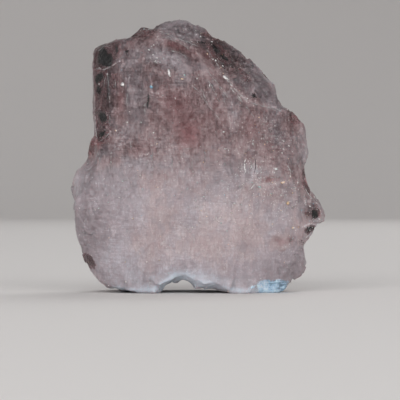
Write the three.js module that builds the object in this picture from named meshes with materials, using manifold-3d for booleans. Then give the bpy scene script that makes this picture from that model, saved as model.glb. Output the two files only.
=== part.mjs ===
// Rough morganite, the pink variety of beryl: a thick, broken plate of crystal that stands on its lower edge.
// Millimetres, +Z up. X runs to the right and Y from the front face to the back. The origin is under the
// middle of the stone, on the surface that it stands on.
//
// The stone is one solid. Its outline, as seen from the front, is drawn through its depth and drawn in towards
// the front and the back. Then it is split along flat faces and fractures, bitten, and hollowed all over.
import * as THREE from "three";
import { ImprovedNoise } from "three/addons/math/ImprovedNoise.js";
import { SimplifyModifier } from "three/addons/modifiers/SimplifyModifier.js";
import { TessellateModifier } from "three/addons/modifiers/TessellateModifier.js";
import { mergeVertices } from "three/addons/utils/BufferGeometryUtils.js";
import Module from "manifold-3d";

// ---- Driving dimensions ----

const WIDTH = 52;
const DEPTH = 26;
const HEIGHT = 56;
const HALF = new THREE.Vector3(WIDTH, DEPTH, HEIGHT).divideScalar(2);
const GROUND_SINK = 0.2; // how far the feet are ground flat
const FINE_EDGE = 1.5; // the longest edge of a triangle while the surface is shaped
const TRIANGLES = 9000; // about how many are kept, where the shape needs them
const CLEAR = 100; // larger than the stone, for the blocks that cut it

// ---- The outline, seen from the front, clockwise from the left edge of the upright prism, as [x, z] ----

const PRISM_TOP = [
  [-21.9, 44.6], [-21.9, 49.8], [-21.6, 50.8], [-20.6, 51.5], [-18.4, 52.3], [-17.3, 52.5],
  [-16.1, 52.0], [-15.4, 52.6], [-14.1, 52.4],
];
const CROWN = [
  [-13.1, 53.2], [-11.6, 54.5], [-10.3, 54.6], [-8.9, 54.2], [-8.5, 54.9], [-7.5, 55.6], [-3.8, 56.0],
  [-2.3, 55.9], [-1.1, 55.3], [0.4, 54.4], [1.2, 54.4], [2.4, 53.1],
];
const SHOULDER = [
  [4.6, 52.8], [6.8, 52.0], [9.1, 50.4], [11.3, 48.4], [12.9, 46.4], [14.9, 43.4], [15.4, 43.2],
  [15.9, 41.8], [16.1, 40.1], [17.8, 38.4], [19.0, 37.8],
];
const RIGHT_FLANK = [
  [20.5, 36.3], [22.2, 34.9], [22.6, 33.2], [22.5, 31.8], [23.0, 28.7], [22.9, 27.1], [22.0, 26.0],
  [22.3, 24.6], [23.0, 21.5],
];
const NOSE = [
  [24.0, 20.3], [25.1, 18.6], [25.9, 17.2], [26.0, 16.2], [25.6, 14.9], [24.0, 14.0], [24.2, 13.5],
  [23.4, 12.5], [21.4, 10.6],
];
const LOWER_RIGHT = [
  [21.0, 9.6], [21.5, 8.1], [22.0, 6.5], [21.6, 5.0], [21.0, 3.6], [18.7, 2.4], [18.1, 1.1],
  [16.4, 0.1],
];
const UNDERSIDE = [
  [14.4, 0.4], [12.6, 0.5], [12.1, 1.0], [11.6, 0.5], [10.4, 0.4], [8.6, 0.0], [7.4, 0.0], [6.5, 0.5],
  [4.7, 0.7], [2.6, 1.4], [-1.1, 1.4], [-6.8, 1.0], [-9.9, 0.5], [-13.0, 0.1], [-16.1, 0.1],
];
const LOWER_LEFT = [
  [-17.1, 1.1], [-18.4, 1.2], [-19.4, 1.9], [-20.6, 3.2], [-21.2, 4.2], [-22.3, 5.1], [-23.3, 6.3],
  [-23.7, 7.9], [-24.2, 9.6], [-24.8, 12.3], [-25.2, 14.7], [-25.0, 17.2], [-25.1, 18.8],
];
const LEFT_FLANK = [
  [-25.8, 19.6], [-26.0, 21.3], [-25.9, 23.0], [-25.6, 24.2], [-25.3, 25.4], [-24.3, 25.9],
  [-23.5, 26.4], [-22.7, 27.3], [-22.4, 28.7], [-22.2, 30.2], [-21.5, 31.4], [-21.2, 32.4],
  [-21.6, 35.7],
];
const OUTLINE = [
  ...PRISM_TOP, ...CROWN, ...SHOULDER, ...RIGHT_FLANK, ...NOSE, ...LOWER_RIGHT, ...UNDERSIDE, ...LOWER_LEFT,
  ...LEFT_FLANK,
];

// ---- How the outline changes from the front to the back ----

const STATIONS = [
  { y: -12.5, scale: 0.86, dx: -0.6, dz: -3.2 },
  { y: -11.4, scale: 0.93, dx: -0.4, dz: -1.7 },
  { y: -9.2, scale: 0.97, dx: -0.2, dz: -0.8 },
  { y: -6.0, scale: 0.99, dx: 0, dz: -0.3 },
  { y: -2.0, scale: 1, dx: 0, dz: 0 },
  { y: 2.0, scale: 0.99, dx: 0.1, dz: -0.3 },
  { y: 6.0, scale: 0.95, dx: 0.4, dz: -1.3 },
  { y: 9.5, scale: 0.9, dx: 0.6, dz: -2.5 },
  { y: 12.5, scale: 0.8, dx: 1, dz: -4.8 },
];
const MIDDLE_Z = 26; // the height that the outline shrinks towards
const LAYERS = 12; // how many lengths the drawn outline is split into
const WIDEST_Y = -2; // the depth at which the stone fills its outline
const WANDER = { length: 8, reach: 3.5 }; // how far that depth wanders along the rim
const SOFTEN = { from: 1, to: 7, points: 3 }; // how the outline's small steps fade away from that depth

// ---- What is missing from the drawn shape ----

const FRONT = [0.03, -1, 0.03];
const BACK = [0.06, 0.97, 0.2];
const PRISM_SIDE = [-0.866, -0.5, 0]; // 60 degrees round from the front, as in any beryl

// Flat breaks. Each is the space on the far side of all of its planes: one plane splits a face off, two or
// three take a step or a notch out of an edge.
const FRONT_BREAKS = [
  [{ at: [0, -11.8, 24], facing: FRONT }],
  [{ at: [3, -11.0, 45.2], facing: [0.46, -0.64, 0.61] }], // the bevel along the shoulder
  [{ at: [19.5, -8.6, 26], facing: [0.72, -0.68, 0.14] }],
  [{ at: [18.5, -8.8, 8], facing: [0.55, -0.7, -0.45] }],
  [{ at: [-21.5, -8.6, 9], facing: [-0.62, -0.7, -0.35] }],
  [{ at: [-12, -10.2, 52], facing: [-0.12, -0.62, 0.77] }],
];
const PRISM_BREAKS = [
  // the clear prism's outer face, down to an oblique foot, and the step on its other side
  [{ at: [-18.8, -11.2, 40], facing: PRISM_SIDE }, { at: [-20, -8, 31.5], facing: [-0.25, -0.2, 0.95] }],
  [{ at: [-14.8, -10.7, 40], facing: FRONT }, { at: [-14.7, -10.7, 40], facing: [-0.98, -0.2, 0.02] },
    { at: [-16, -10.7, 30.5], facing: [-0.45, 0, 0.9] }],
];
const LAYER_BREAKS = [
  // growth layers missing from the front
  [{ at: [0, -11.2, 8], facing: FRONT }, { at: [8, -11, 8], facing: [0.95, 0, -0.3] },
    { at: [12, -11, 21], facing: [-0.35, 0, -0.94] }],
  [{ at: [0, -11.1, 6], facing: FRONT }, { at: [-12, -11, 5], facing: [-0.6, 0, -0.8] }],
  [{ at: [0, -11.3, 32], facing: FRONT }, { at: [7, -11, 32], facing: [0.93, 0, 0.36] },
    { at: [12, -11, 27], facing: [0.1, 0, 0.99] }],
];
const BACK_BREAKS = [
  [{ at: [0, 11.2, 18], facing: BACK }],
  [{ at: [-14.5, 9, 24], facing: [-0.55, 0.83, 0.1] }],
  [{ at: [14, 8.4, 20], facing: [0.58, 0.8, 0.1] }],
  [{ at: [4, 11.2, 7], facing: [0.14, 0.86, -0.48] }],
  [{ at: [-2, 6, 49], facing: [-0.1, 0.75, 0.6] }],
  [{ at: [13, 4, 42], facing: [0.5, 0.7, 0.5] }],
  [{ at: [0, 9.9, 18], facing: BACK }, { at: [-3, 9, 20], facing: [0.8, 0, -0.6] }],
  [{ at: [0, 9.6, 18], facing: BACK }, { at: [0, 6, 36], facing: [-0.75, 0, 0.66] }],
  [{ at: [0, 9, 18], facing: BACK }, { at: [-13, 9, 20], facing: [-0.85, -0.1, -0.5] }],
];
const BREAKS = [...FRONT_BREAKS, ...PRISM_BREAKS, ...LAYER_BREAKS, ...BACK_BREAKS];

// Shell-shaped bites, each an ellipsoid that reaches a little way in.
const BITES = [
  { at: [9, -15.4, 47.6], radii: [8, 8, 6] }, // hollow under the shoulder
  { at: [-5.5, -17.4, 48.6], radii: [9, 7.6, 6.4] }, // under the crown
  { at: [-26.6, -11.2, 28.6], radii: [6, 8, 5] }, // under the prism's foot
  { at: [27.5, -11, 26], radii: [6.4, 9, 6] }, // above the nose
  { at: [27, 9.5, 7], radii: [7, 10, 5] }, // under the nose, behind
  { at: [-26.5, -13, 5], radii: [7, 8, 7] }, // lower left
  { at: [-4, -13.6, -0.6], radii: [5.6, 6.2, 4.6] }, // front of the notch in the underside
  { at: [3, 20.5, 27], radii: [16, 11.6, 12] }, // back, middle
  { at: [-21, 16.5, 9], radii: [12, 9, 10] }, // back, lower left
  { at: [18, 14.6, 37], radii: [12, 9.6, 10] }, // back, upper right
  { at: [-18, 12, 47], radii: [9, 8, 9] }, // back, upper left
];
// The notch in the underside, right through from the front to the back, as two lobes side by side.
const NOTCH = [
  { at: [-2.8, 0, -0.6], radii: [2.4, 34, 3.7] },
  { at: [-5.2, 0, -0.6], radii: [2.3, 34, 3.0] },
];
const BITE_SIDES = [28, 18]; // how finely an ellipsoid is cut, around and from end to end

// ---- The surface ----

// Shallow hollows that cover the whole surface and meet in low ridges, as fracture leaves them. Each is a
// tilted bowl, longer along Z, the way that the crystal grew and splits.
const HOLLOWS = { count: 520, seed: 7, stretch: 1.8, rise: 0.42, lift: 0.48, tilt: 0.3, curve: 0.035 };
const CALM = { middle: [-21, -8, 42], radii: [5, 9, 13], share: 0.25 }; // the clear prism is smoother

// Swells that bend the whole stone a little. Each is `length` long and moves a point by up to `push`, and by
// `more` for each millimetre from the widest depth, so that no ridge of the outline runs straight through.
const SWELLS = [
  { length: 11, push: 0.15, more: 0.14 },
  { length: 5, push: 0.12, more: 0.07 },
];

const MORGANITE = new THREE.MeshStandardMaterial({ color: 0xa08a8e, roughness: 0.35, metalness: 0 });

// ---- Joining and cutting ----

const wasm = await Module();
wasm.setup();

/** A closed three.js geometry as a manifold-3d solid. */
function solidOf(geometry) {
  const bare = new THREE.BufferGeometry();
  bare.setAttribute("position", geometry.getAttribute("position"));
  bare.setIndex(geometry.index);
  const welded = mergeVertices(bare, 1e-4);
  const vertProperties = welded.getAttribute("position").array;
  const triVerts = new Uint32Array(welded.index.array);
  return new wasm.Manifold(new wasm.Mesh({ numProp: 3, vertProperties, triVerts }));
}

/** A manifold-3d solid as a three.js geometry. */
function geometryOf(solid) {
  const { vertProperties, triVerts } = solid.getMesh();
  const geometry = new THREE.BufferGeometry();
  geometry.setAttribute("position", new THREE.BufferAttribute(vertProperties, 3));
  geometry.setIndex(new THREE.BufferAttribute(triVerts, 1));
  return geometry;
}

/** Moves each vertex of a geometry: `move` changes the point that it is given. */
function reshape(geometry, move) {
  const position = geometry.getAttribute("position");
  const point = new THREE.Vector3();
  for (let i = 0; i < position.count; i++) {
    move(point.fromBufferAttribute(position, i));
    position.setXYZ(i, ...point);
  }
  return geometry;
}

/** A block that fills the far side of a plane. */
function farSide({ at, facing }) {
  const normal = new THREE.Vector3(...facing).normalize();
  const turn = new THREE.Quaternion().setFromUnitVectors(new THREE.Vector3(0, 0, 1), normal);
  const block = new THREE.BoxGeometry(2 * CLEAR, 2 * CLEAR, CLEAR).translate(0, 0, CLEAR / 2);
  return solidOf(block.applyQuaternion(turn).translate(...at));
}

/** The space on the far side of all of a break's planes. */
function breakAway(planes) {
  return planes.map(farSide).reduce((space, next) => space.intersect(next));
}

/** The ellipsoid that a bite takes out. */
function bite({ at, radii }) {
  return solidOf(new THREE.SphereGeometry(1, ...BITE_SIDES).scale(...radii).translate(...at));
}

// ---- The blank ----

const NOISE = new ImprovedNoise();

/** The outline's scale and shift at a depth, between the two stations around it. */
function stationAt(depth) {
  const y = THREE.MathUtils.clamp(depth, STATIONS[0].y, STATIONS.at(-1).y);
  const next = STATIONS.findIndex((station, i) => i > 0 && station.y >= y);
  const [a, b] = [STATIONS[next - 1], STATIONS[next]];
  const share = (y - a.y) / (b.y - a.y);
  const between = (key) => THREE.MathUtils.lerp(a[key], b[key], share);
  return { scale: between("scale"), dx: between("dx"), dz: between("dz") };
}

/** The outline's point number i, averaged with its neighbours. */
function softened(i) {
  const sum = new THREE.Vector2();
  for (let k = -SOFTEN.points; k <= SOFTEN.points; k++) {
    sum.add(new THREE.Vector2(...OUTLINE.at((i + k) % OUTLINE.length)));
  }
  return sum.divideScalar(2 * SOFTEN.points + 1);
}

/** Where the outline's point number i lies at depth y. */
function rimPoint(i, y) {
  const [x, z] = OUTLINE[i];
  const off = y - WIDEST_Y + WANDER.reach * NOISE.noise(x / WANDER.length, 0.5, z / WANDER.length);
  const soft = THREE.MathUtils.smoothstep(Math.abs(off), SOFTEN.from, SOFTEN.to);
  const drawn = new THREE.Vector2(x, z).lerp(softened(i), soft);
  const { scale, dx, dz } = stationAt(WIDEST_Y + off);
  return new THREE.Vector3(drawn.x * scale + dx, y, MIDDLE_Z + (drawn.y - MIDDLE_Z) * scale + dz);
}

/** The outline drawn straight through its depth, along +Z. */
function drawnOutline() {
  const shape = new THREE.Shape(OUTLINE.map(([x, z]) => new THREE.Vector2(x, z)));
  const depth = STATIONS.at(-1).y - STATIONS[0].y;
  return new THREE.ExtrudeGeometry(shape, { depth, steps: LAYERS, bevelEnabled: false });
}

/** The blank: the outline, smaller and shifted away from its widest depth, and nowhere outside itself. */
function blank() {
  const back = STATIONS.at(-1).y;
  const straight = drawnOutline().rotateX(Math.PI / 2).translate(0, back, 0);
  const shaped = reshape(drawnOutline(), (point) => {
    const i = OUTLINE.findIndex(([x, z]) => Math.hypot(point.x - x, point.y - z) < 1e-3);
    point.copy(rimPoint(i, back - point.z));
  });
  return solidOf(shaped).intersect(solidOf(straight));
}

// ---- The surface ----

/** Moves a point by all the swells, along each axis by a part of the noise of its own. */
function bend(point) {
  const off = Math.abs(point.y - WIDEST_Y);
  const from = point.clone();
  for (const { length, push, more } of SWELLS) {
    const [x, y, z] = from.clone().divideScalar(length);
    const reach = push + more * off;
    point.x += reach * NOISE.noise(x, y, z);
    point.y += reach * NOISE.noise(x + 31.4, y + 15.9, z + 26.5);
    point.z += reach * NOISE.noise(x + 57.7, y + 21.6, z + 64.9);
  }
}

/** The hollows' middles, lifts and tilts, scattered through the stone's box. */
function scatterHollows() {
  const { count, seed, lift, tilt } = HOLLOWS;
  const random = (reach) => reach * (2 * THREE.MathUtils.seededRandom() - 1);
  THREE.MathUtils.seededRandom(seed);
  return Array.from({ length: count }, () => ({
    middle: new THREE.Vector3(random(HALF.x), random(HALF.y), HALF.z + random(HALF.z)),
    lift: random(lift),
    tilt: new THREE.Vector3(random(tilt), random(tilt), random(tilt)),
  }));
}

/** The height of the surface over a point: that of the deepest hollow there. */
function hollowHeight(point, hollows) {
  const away = new THREE.Vector3();
  const heights = hollows.map(({ middle, lift, tilt }) => {
    away.subVectors(point, middle);
    away.z /= HOLLOWS.stretch;
    return lift + tilt.dot(away) + HOLLOWS.curve * away.lengthSq();
  });
  return HOLLOWS.rise + Math.min(...heights);
}

/** How strongly the hollows show at a point: little on the clear prism, in full elsewhere. */
function hollowShare(point) {
  const { middle, radii, share } = CALM;
  const [x, y, z] = middle.map((at, axis) => (point.getComponent(axis) - at) / radii[axis]);
  return THREE.MathUtils.lerp(share, 1, THREE.MathUtils.smoothstep(Math.hypot(x, y, z), 0.8, 1.2));
}

/** The direction out of the stone at a point, as on a box with round edges. */
function outwards(point) {
  const share = new THREE.Vector3(point.x, point.y, point.z - HALF.z).divide(HALF);
  return share.clone().multiply(share).multiply(share).divide(HALF).normalize();
}

/** A dense geometry as a solid of about TRIANGLES triangles. A closed mesh has twice as many as vertices. */
async function thinned(geometry) {
  const dense = geometryOf(solidOf(geometry));
  const spare = dense.getAttribute("position").count - TRIANGLES / 2;
  return solidOf(await new SimplifyModifier().modify(dense, spare));
}

/** Scales a geometry to the driving dimensions and stands it with its bottom centre at the origin. */
function fitted(geometry) {
  geometry.computeBoundingBox();
  const { min, max } = geometry.boundingBox;
  geometry.translate(-(min.x + max.x) / 2, -(min.y + max.y) / 2, -min.z);
  return geometry.scale(WIDTH / (max.x - min.x), DEPTH / (max.y - min.y), HEIGHT / (max.z - min.z));
}

/** The whole crystal. */
async function crystalGeometry() {
  let body = blank();
  for (const planes of BREAKS) body = body.subtract(breakAway(planes));
  for (const shell of BITES) body = body.subtract(bite(shell));

  const fine = new TessellateModifier(FINE_EDGE, 24).modify(geometryOf(body));
  const hollows = scatterHollows();
  reshape(fine, bend);
  reshape(fine, (point) => {
    point.addScaledVector(outwards(point), hollowHeight(point, hollows) * hollowShare(point));
  });

  let standing = (await thinned(fine)).subtract(farSide({ at: [0, 0, GROUND_SINK], facing: [0, 0, -1] }));
  for (const lobe of NOTCH) standing = standing.subtract(bite(lobe));
  return fitted(geometryOf(standing));
}

const crystal = new THREE.Mesh(await crystalGeometry(), MORGANITE);
crystal.name = "morganite_crystal";

const stone = new THREE.Group();
stone.add(crystal);

export default stone;
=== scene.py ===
"""Looks of a rough morganite crystal, a cloudy pink beryl that stands on its broken foot.

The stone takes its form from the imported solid. This file adds the fine relief of its faces, its clear and
cloudy zones, its glints, and the studio it stands in. Sizes are in millimetres unless a name says otherwise,
with x to the right, y to the back and z up, and they become metres on the mesh.
"""

import logging
import math
import random
from dataclasses import dataclass, fields
from enum import Enum
from typing import Any

import bpy
import numpy as np
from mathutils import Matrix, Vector
from mathutils.bvhtree import BVHTree


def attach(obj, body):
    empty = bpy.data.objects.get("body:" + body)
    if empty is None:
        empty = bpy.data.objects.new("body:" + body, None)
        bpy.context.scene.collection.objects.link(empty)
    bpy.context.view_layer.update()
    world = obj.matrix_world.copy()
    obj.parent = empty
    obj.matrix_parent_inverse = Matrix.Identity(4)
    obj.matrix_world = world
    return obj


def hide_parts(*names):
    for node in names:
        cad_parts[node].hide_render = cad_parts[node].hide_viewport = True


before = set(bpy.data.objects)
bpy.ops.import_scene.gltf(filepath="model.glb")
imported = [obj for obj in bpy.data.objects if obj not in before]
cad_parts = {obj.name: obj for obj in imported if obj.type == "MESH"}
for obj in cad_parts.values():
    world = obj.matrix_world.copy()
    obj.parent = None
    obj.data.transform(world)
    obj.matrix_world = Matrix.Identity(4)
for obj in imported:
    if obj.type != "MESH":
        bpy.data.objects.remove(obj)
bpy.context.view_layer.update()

NODE = "morganite_crystal"
MM = 0.001  # metres in a millimetre
EYE = (0.36, -500.0, 18.84)  # where the front is looked at from, in millimetres

log = logging.getLogger("morganite")

Triple = tuple[float, float, float]
Trail = tuple[tuple[float, float], ...]  # points in the x-z plane
Stops = tuple[tuple[float, str], ...]  # values with their colours, from lowest to highest

# --- small helpers --------------------------------------------------------------------------------------

# settings that many nodes share
SMOOTH = {"interpolation_type": "SMOOTHSTEP"}
PLUS = {"operation": "ADD"}
MINUS = {"operation": "SUBTRACT"}
TIMES = {"operation": "MULTIPLY"}
OVER = {"operation": "DIVIDE"}
WEIGHED = {"operation": "MULTIPLY_ADD"}
HIGHER = {"operation": "MAXIMUM"}
SIZELESS = {"operation": "ABSOLUTE"}
SCALED = {"operation": "SCALE"}
ALONG = {"operation": "DOT_PRODUCT"}
COLOURS = {"data_type": "RGBA"}
HALVES = (0.5, 0.5, 0.5)  # the middle of a random colour


def linear(hex_colour: str) -> tuple[float, float, float, float]:
    """Turns an sRGB colour into the linear one that the nodes take.

    Args:
        hex_colour: six hex digits, with or without a leading #.

    Returns:
        Red, green, blue and an alpha of one.
    """
    digits = hex_colour.lstrip("#")
    shares = [int(digits[i : i + 2], 16) / 255 for i in (0, 2, 4)]
    return (*[s / 12.92 if s <= 0.04045 else ((s + 0.055) / 1.055) ** 2.4 for s in shares], 1.0)


def add_node(
    tree: bpy.types.NodeTree,
    kind: str,
    settings: dict[str, Any] | None = None,
    inputs: dict[str | int, Any] | None = None,
) -> bpy.types.Node:
    """Adds one node to a tree.

    Args:
        tree: the shader or geometry tree.
        kind: the node's type name.
        settings: the node's own properties.
        inputs: for each input, by name or number, a value, an output socket, or a node for its first output.

    Returns:
        The new node.
    """
    node = tree.nodes.new(kind)
    for name, value in (settings or {}).items():
        setattr(node, name, value)
    for key, value in (inputs or {}).items():
        source = value.outputs[0] if isinstance(value, bpy.types.Node) else value
        if isinstance(source, bpy.types.NodeSocket):
            tree.links.new(source, node.inputs[key])
        else:
            node.inputs[key].default_value = source
    return node


def as_seen(points: np.ndarray) -> np.ndarray:
    """Slides each point along its line to the eye, so that x and z are those of the plane y = 0.

    Args:
        points: places in millimetres, one in each row.

    Returns:
        The places as they are seen, each with its own y.
    """
    nearer = -EYE[1] / (points[:, 1] - EYE[1])
    across = EYE[0] + (points[:, 0] - EYE[0]) * nearer
    up = EYE[2] + (points[:, 2] - EYE[2]) * nearer
    return np.stack([across, points[:, 1], up], axis=1)


def smooth_share(values: np.ndarray, low: float, high: float) -> np.ndarray:
    """Runs smoothly from 0 at low to 1 at high."""
    share = np.clip((values - low) / (high - low), 0, 1)
    return share * share * (3 - 2 * share)


def vertex_table(mesh: bpy.types.Mesh) -> tuple[np.ndarray, np.ndarray]:
    """Reads the vertices of a mesh.

    Args:
        mesh: the mesh.

    Returns:
        Their places in metres and their outward directions, one in each row.
    """
    places = np.empty(len(mesh.vertices) * 3, np.float32)
    normals = np.empty_like(places)
    mesh.vertices.foreach_get("co", places)
    mesh.vertex_normals.foreach_get("vector", normals)
    return places.reshape(-1, 3).astype(float), normals.reshape(-1, 3).astype(float)


def store(mesh: bpy.types.Mesh, name: str, values: Any) -> None:
    """Stores one number for each vertex, as an attribute of the mesh."""
    layer = mesh.attributes.new(name, "FLOAT", "POINT")
    layer.data.foreach_set("value", np.asarray(values, np.float32))


# --- zones and marks of the crystal ---------------------------------------------------------------------

FAR = 20.0  # millimetres from a zone's edge that stand for anywhere beyond
OVERLAP = 1.0  # millimetres that a zone or a lit crest of one side reaches past the middle of the stone
SHELL_MIDDLE = (-6.85, 43.5)  # what the ripples of the shell-shaped break go round
FORM_HEIGHT = "form_height"


class Look(Enum):
    """What a zone of the crystal does to it. The value is the name of its attribute on the mesh."""

    CLEAR = "glassy"
    # painted shade: windows coloured near black, as the dark depth seen into
    DARK = "deep_window"
    # painted light: the pale blue glow of the foot at the right
    FROST = "bruised"
    EDGE = "lit_edge"
    # painted glints: flecks and light hairlines coloured near white
    GLINT = "cleavage_fleck"
    CLOUD = "cloudiness"
    ROSE = "rosiness"
    SPARKLE = "sparkle_crowd"
    # painted light: the pale bluish glow along the rims of the foot and the notch
    PALE = "thin_rim"
    FIRE = "glint_warmth"

    @property
    def absent(self) -> float:
        """The value where there is none of it. Looks with an edge are millimetres inside that edge."""
        return -FAR if self in (Look.CLEAR, Look.DARK, Look.FROST, Look.EDGE) else 0.0


class Side(Enum):
    """Which side of the crystal a zone is on, as a factor on y."""

    FRONT = -1
    BACK = 1
    THROUGH = 0


@dataclass(frozen=True)
class Zone:
    """A rounded region of the crystal, seen along y, that may lean in the x-z plane.

    It tapers away from its own y, front and back, and climbs by its slant on the way back.
    """

    look: Look
    x: float
    z: float
    half_width: float
    half_height: float
    lean: float = 0.0
    side: Side = Side.FRONT
    boxiness: float = 2.0  # 2 for an ellipse, more for squarer corners
    y: float = 0.0
    half_depth: float = math.inf
    slant: float = 0.0

    def radius(self, points: np.ndarray) -> np.ndarray:
        """Measures how far out each point is.

        Args:
            points: places as seen, one in each row.

        Returns:
            A number for each, which is 1 on the zone's edge.
        """
        turn = math.radians(self.lean)
        back = points[:, 1] - self.y
        across = points[:, 0] - self.x
        up = points[:, 2] - self.z - self.slant * back
        u = np.abs(across * math.cos(turn) + up * math.sin(turn)) / self.half_width
        v = np.abs(up * math.cos(turn) - across * math.sin(turn)) / self.half_height
        outwards = (u**self.boxiness + v**self.boxiness) ** (1 / self.boxiness)
        return np.hypot(outwards, back / self.half_depth)

    def depth(self, points: np.ndarray) -> np.ndarray:
        """Measures how far each point lies towards the zone's own side.

        Args:
            points: places as seen, one in each row.

        Returns:
            Millimetres for each.
        """
        if self.side is Side.THROUGH:
            return np.full(len(points), FAR)
        return self.side.value * points[:, 1] + OVERLAP

    def inside(self, points: np.ndarray) -> np.ndarray:
        """Millimetres inside the zone's edge, less than zero outside it."""
        from_edge = (1 - self.radius(points)) * min(self.half_width, self.half_height)
        return np.minimum(from_edge, self.depth(points))


@dataclass(frozen=True)
class Patch(Zone):
    """A zone with no edge, whose effect fades out from its middle."""

    strength: float = 0.3

    def share(self, points: np.ndarray) -> np.ndarray:
        """The effect at each point, which fades over two millimetres each side of the zone's depth."""
        return self.strength * np.exp(-(self.radius(points) ** 2)) * smooth_share(self.depth(points), -2, 2)


@dataclass(frozen=True)
class Arc:
    """A curved band in the x-z plane, as the ripple of a shell-shaped break, with its effect."""

    look: Look
    reach: float
    half_width: float
    from_angle: float
    to_angle: float
    strength: float
    height: float = 0.0
    end_fade: float = 15.0  # degrees over which an end fades, each way
    middle: tuple[float, float] = SHELL_MIDDLE

    def share(self, points: np.ndarray) -> np.ndarray:
        """The effect at each point."""
        return self.strength * self.nearness(points)

    def nearness(self, points: np.ndarray) -> np.ndarray:
        """Measures how near each point is to the band.

        Args:
            points: places as seen, one in each row.

        Returns:
            A number for each, from 1 in the middle of the band to 0 off it.
        """
        across = points[:, 0] - self.middle[0]
        up = points[:, 2] - self.middle[1]
        angle = np.degrees(np.arctan2(up, across))
        fade = smooth_share(angle, self.from_angle - self.end_fade, self.from_angle + self.end_fade)
        fade *= 1 - smooth_share(angle, self.to_angle - self.end_fade, self.to_angle + self.end_fade)
        fade *= smooth_share(-points[:, 1], -1, 2)
        return fade * np.exp(-(((np.hypot(across, up) - self.reach) / self.half_width) ** 2))


@dataclass(frozen=True)
class Line:
    """A line through points in the x-z plane, on one side of the crystal or right through it."""

    path: Trail
    half_width: float

    def gap(self, points: np.ndarray) -> np.ndarray:
        """Measures how far each point is from the line.

        Args:
            points: places as seen, one in each row.

        Returns:
            Millimetres for each, in the x-z plane.
        """
        nearest = np.full(len(points), math.inf)
        places = points[:, [0, 2]]
        for start, end in zip(self.path, self.path[1:]):
            first = np.array(start)
            run = np.array(end) - first
            share = np.clip((places - first) @ run / (run @ run), 0, 1)
            gap = np.linalg.norm(places - first - share[:, None] * run, axis=1)
            nearest = np.minimum(nearest, gap)
        return nearest

    def nearness(self, points: np.ndarray) -> np.ndarray:
        """Runs from 1 on the line to 0 away from it."""
        return np.exp(-((self.gap(points) / self.half_width) ** 2))


@dataclass(frozen=True)
class Band(Line):
    """A soft line with its effect, as a healed crack or a bleached rim."""

    look: Look
    strength: float
    side: Side = Side.FRONT

    def share(self, points: np.ndarray) -> np.ndarray:
        """Works out the effect of the band, which ends past the middle of the stone unless it goes through.

        Args:
            points: places as seen, one in each row.

        Returns:
            The effect at each point.
        """
        share = self.strength * self.nearness(points)
        if self.side is not Side.THROUGH:
            share *= smooth_share(self.side.value * points[:, 1], -3, 1)
        return share


@dataclass(frozen=True)
class Crest(Line):
    """A raised line between two faces of the front, lit to that many millimetres each side."""

    height: float
    lit: float

    def relief(self, points: np.ndarray) -> np.ndarray:
        """Height that the crest adds at each point."""
        return self.height * self.nearness(points)

    def inside(self, points: np.ndarray) -> np.ndarray:
        """Millimetres inside the lit edge, on the front and a little way back from it."""
        return self.lit - self.gap(points) - np.maximum(points[:, 1] - OVERLAP, 0)


@dataclass(frozen=True)
class CloudLine:
    """How cloudy the crystal is by height. The clouding starts lower towards the right."""

    drop_across: tuple[float, ...] = (-10.0, 5.0, 12.0, 20.0)
    drop: tuple[float, ...] = (0.0, 1.0, 3.0, 5.0)
    height: tuple[float, ...] = (0.0, 3.0, 7.0, 18.0, 21.0, 25.0, 27.5, 30.0, 34.0, 40.0, 52.0)
    cloudiness: tuple[float, ...] = (0.85, 0.92, 1.0, 1.0, 0.92, 0.8, 0.7, 0.6, 0.5, 0.43, 0.38)

    def share(self, points: np.ndarray) -> np.ndarray:
        """How cloudy each point is, from 0, clear, to 1, milky."""
        drop = np.interp(points[:, 0], self.drop_across, self.drop)
        return np.interp(points[:, 2] + drop, self.height, self.cloudiness)


@dataclass(frozen=True)
class Fleck:
    """A small cleavage face, coloured near white as a painted glint, seen along y. It may lean in the x-z
    plane.

    Warmth runs from -1, blue, through 0, white, to 1, orange.
    """

    x: float
    z: float
    width: float
    height: float
    lean: float = 0.0
    warmth: float = 0.0
    strength: float = 1.0
    side: Side = Side.FRONT


@dataclass(frozen=True)
class Stroke:
    """A hairline on the front, through points in the x-z plane: a healed crack, a painted highlight along an
    edge, or an open crack painted dark as shade.
    """

    path: Trail
    width: float
    strength: float
    look: Look = Look.GLINT


def patches(look: Look, *rows: tuple[float, ...], side: Side = Side.FRONT) -> list[Patch]:
    """Makes patches of one look on one side.

    Args:
        look: what they change.
        rows: for each, x, z, half width, half height, strength, and its lean where it has one.
        side: the side that they are on.

    Returns:
        The patches, in the order of the rows.
    """
    return [Patch(look, *row[:4], *row[5:], side=side, strength=row[4]) for row in rows]


def flecks(*rows: tuple[float, ...], side: Side = Side.FRONT) -> list[Fleck]:
    """Makes flecks on one side, from rows of x, z, width, height, lean, warmth and strength."""
    return [Fleck(*row, side=side) for row in rows]


# where the front meets the bevelled break, and the crown's lower edge that leads to it
CREST_LINE = ((3.2, 48.4), (5.2, 44.6), (7.6, 41.6), (10.3, 39.2))
CROWN_LINE = ((-6.2, 52.2), (-1.5, 51.0), (3.2, 48.4))

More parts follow.
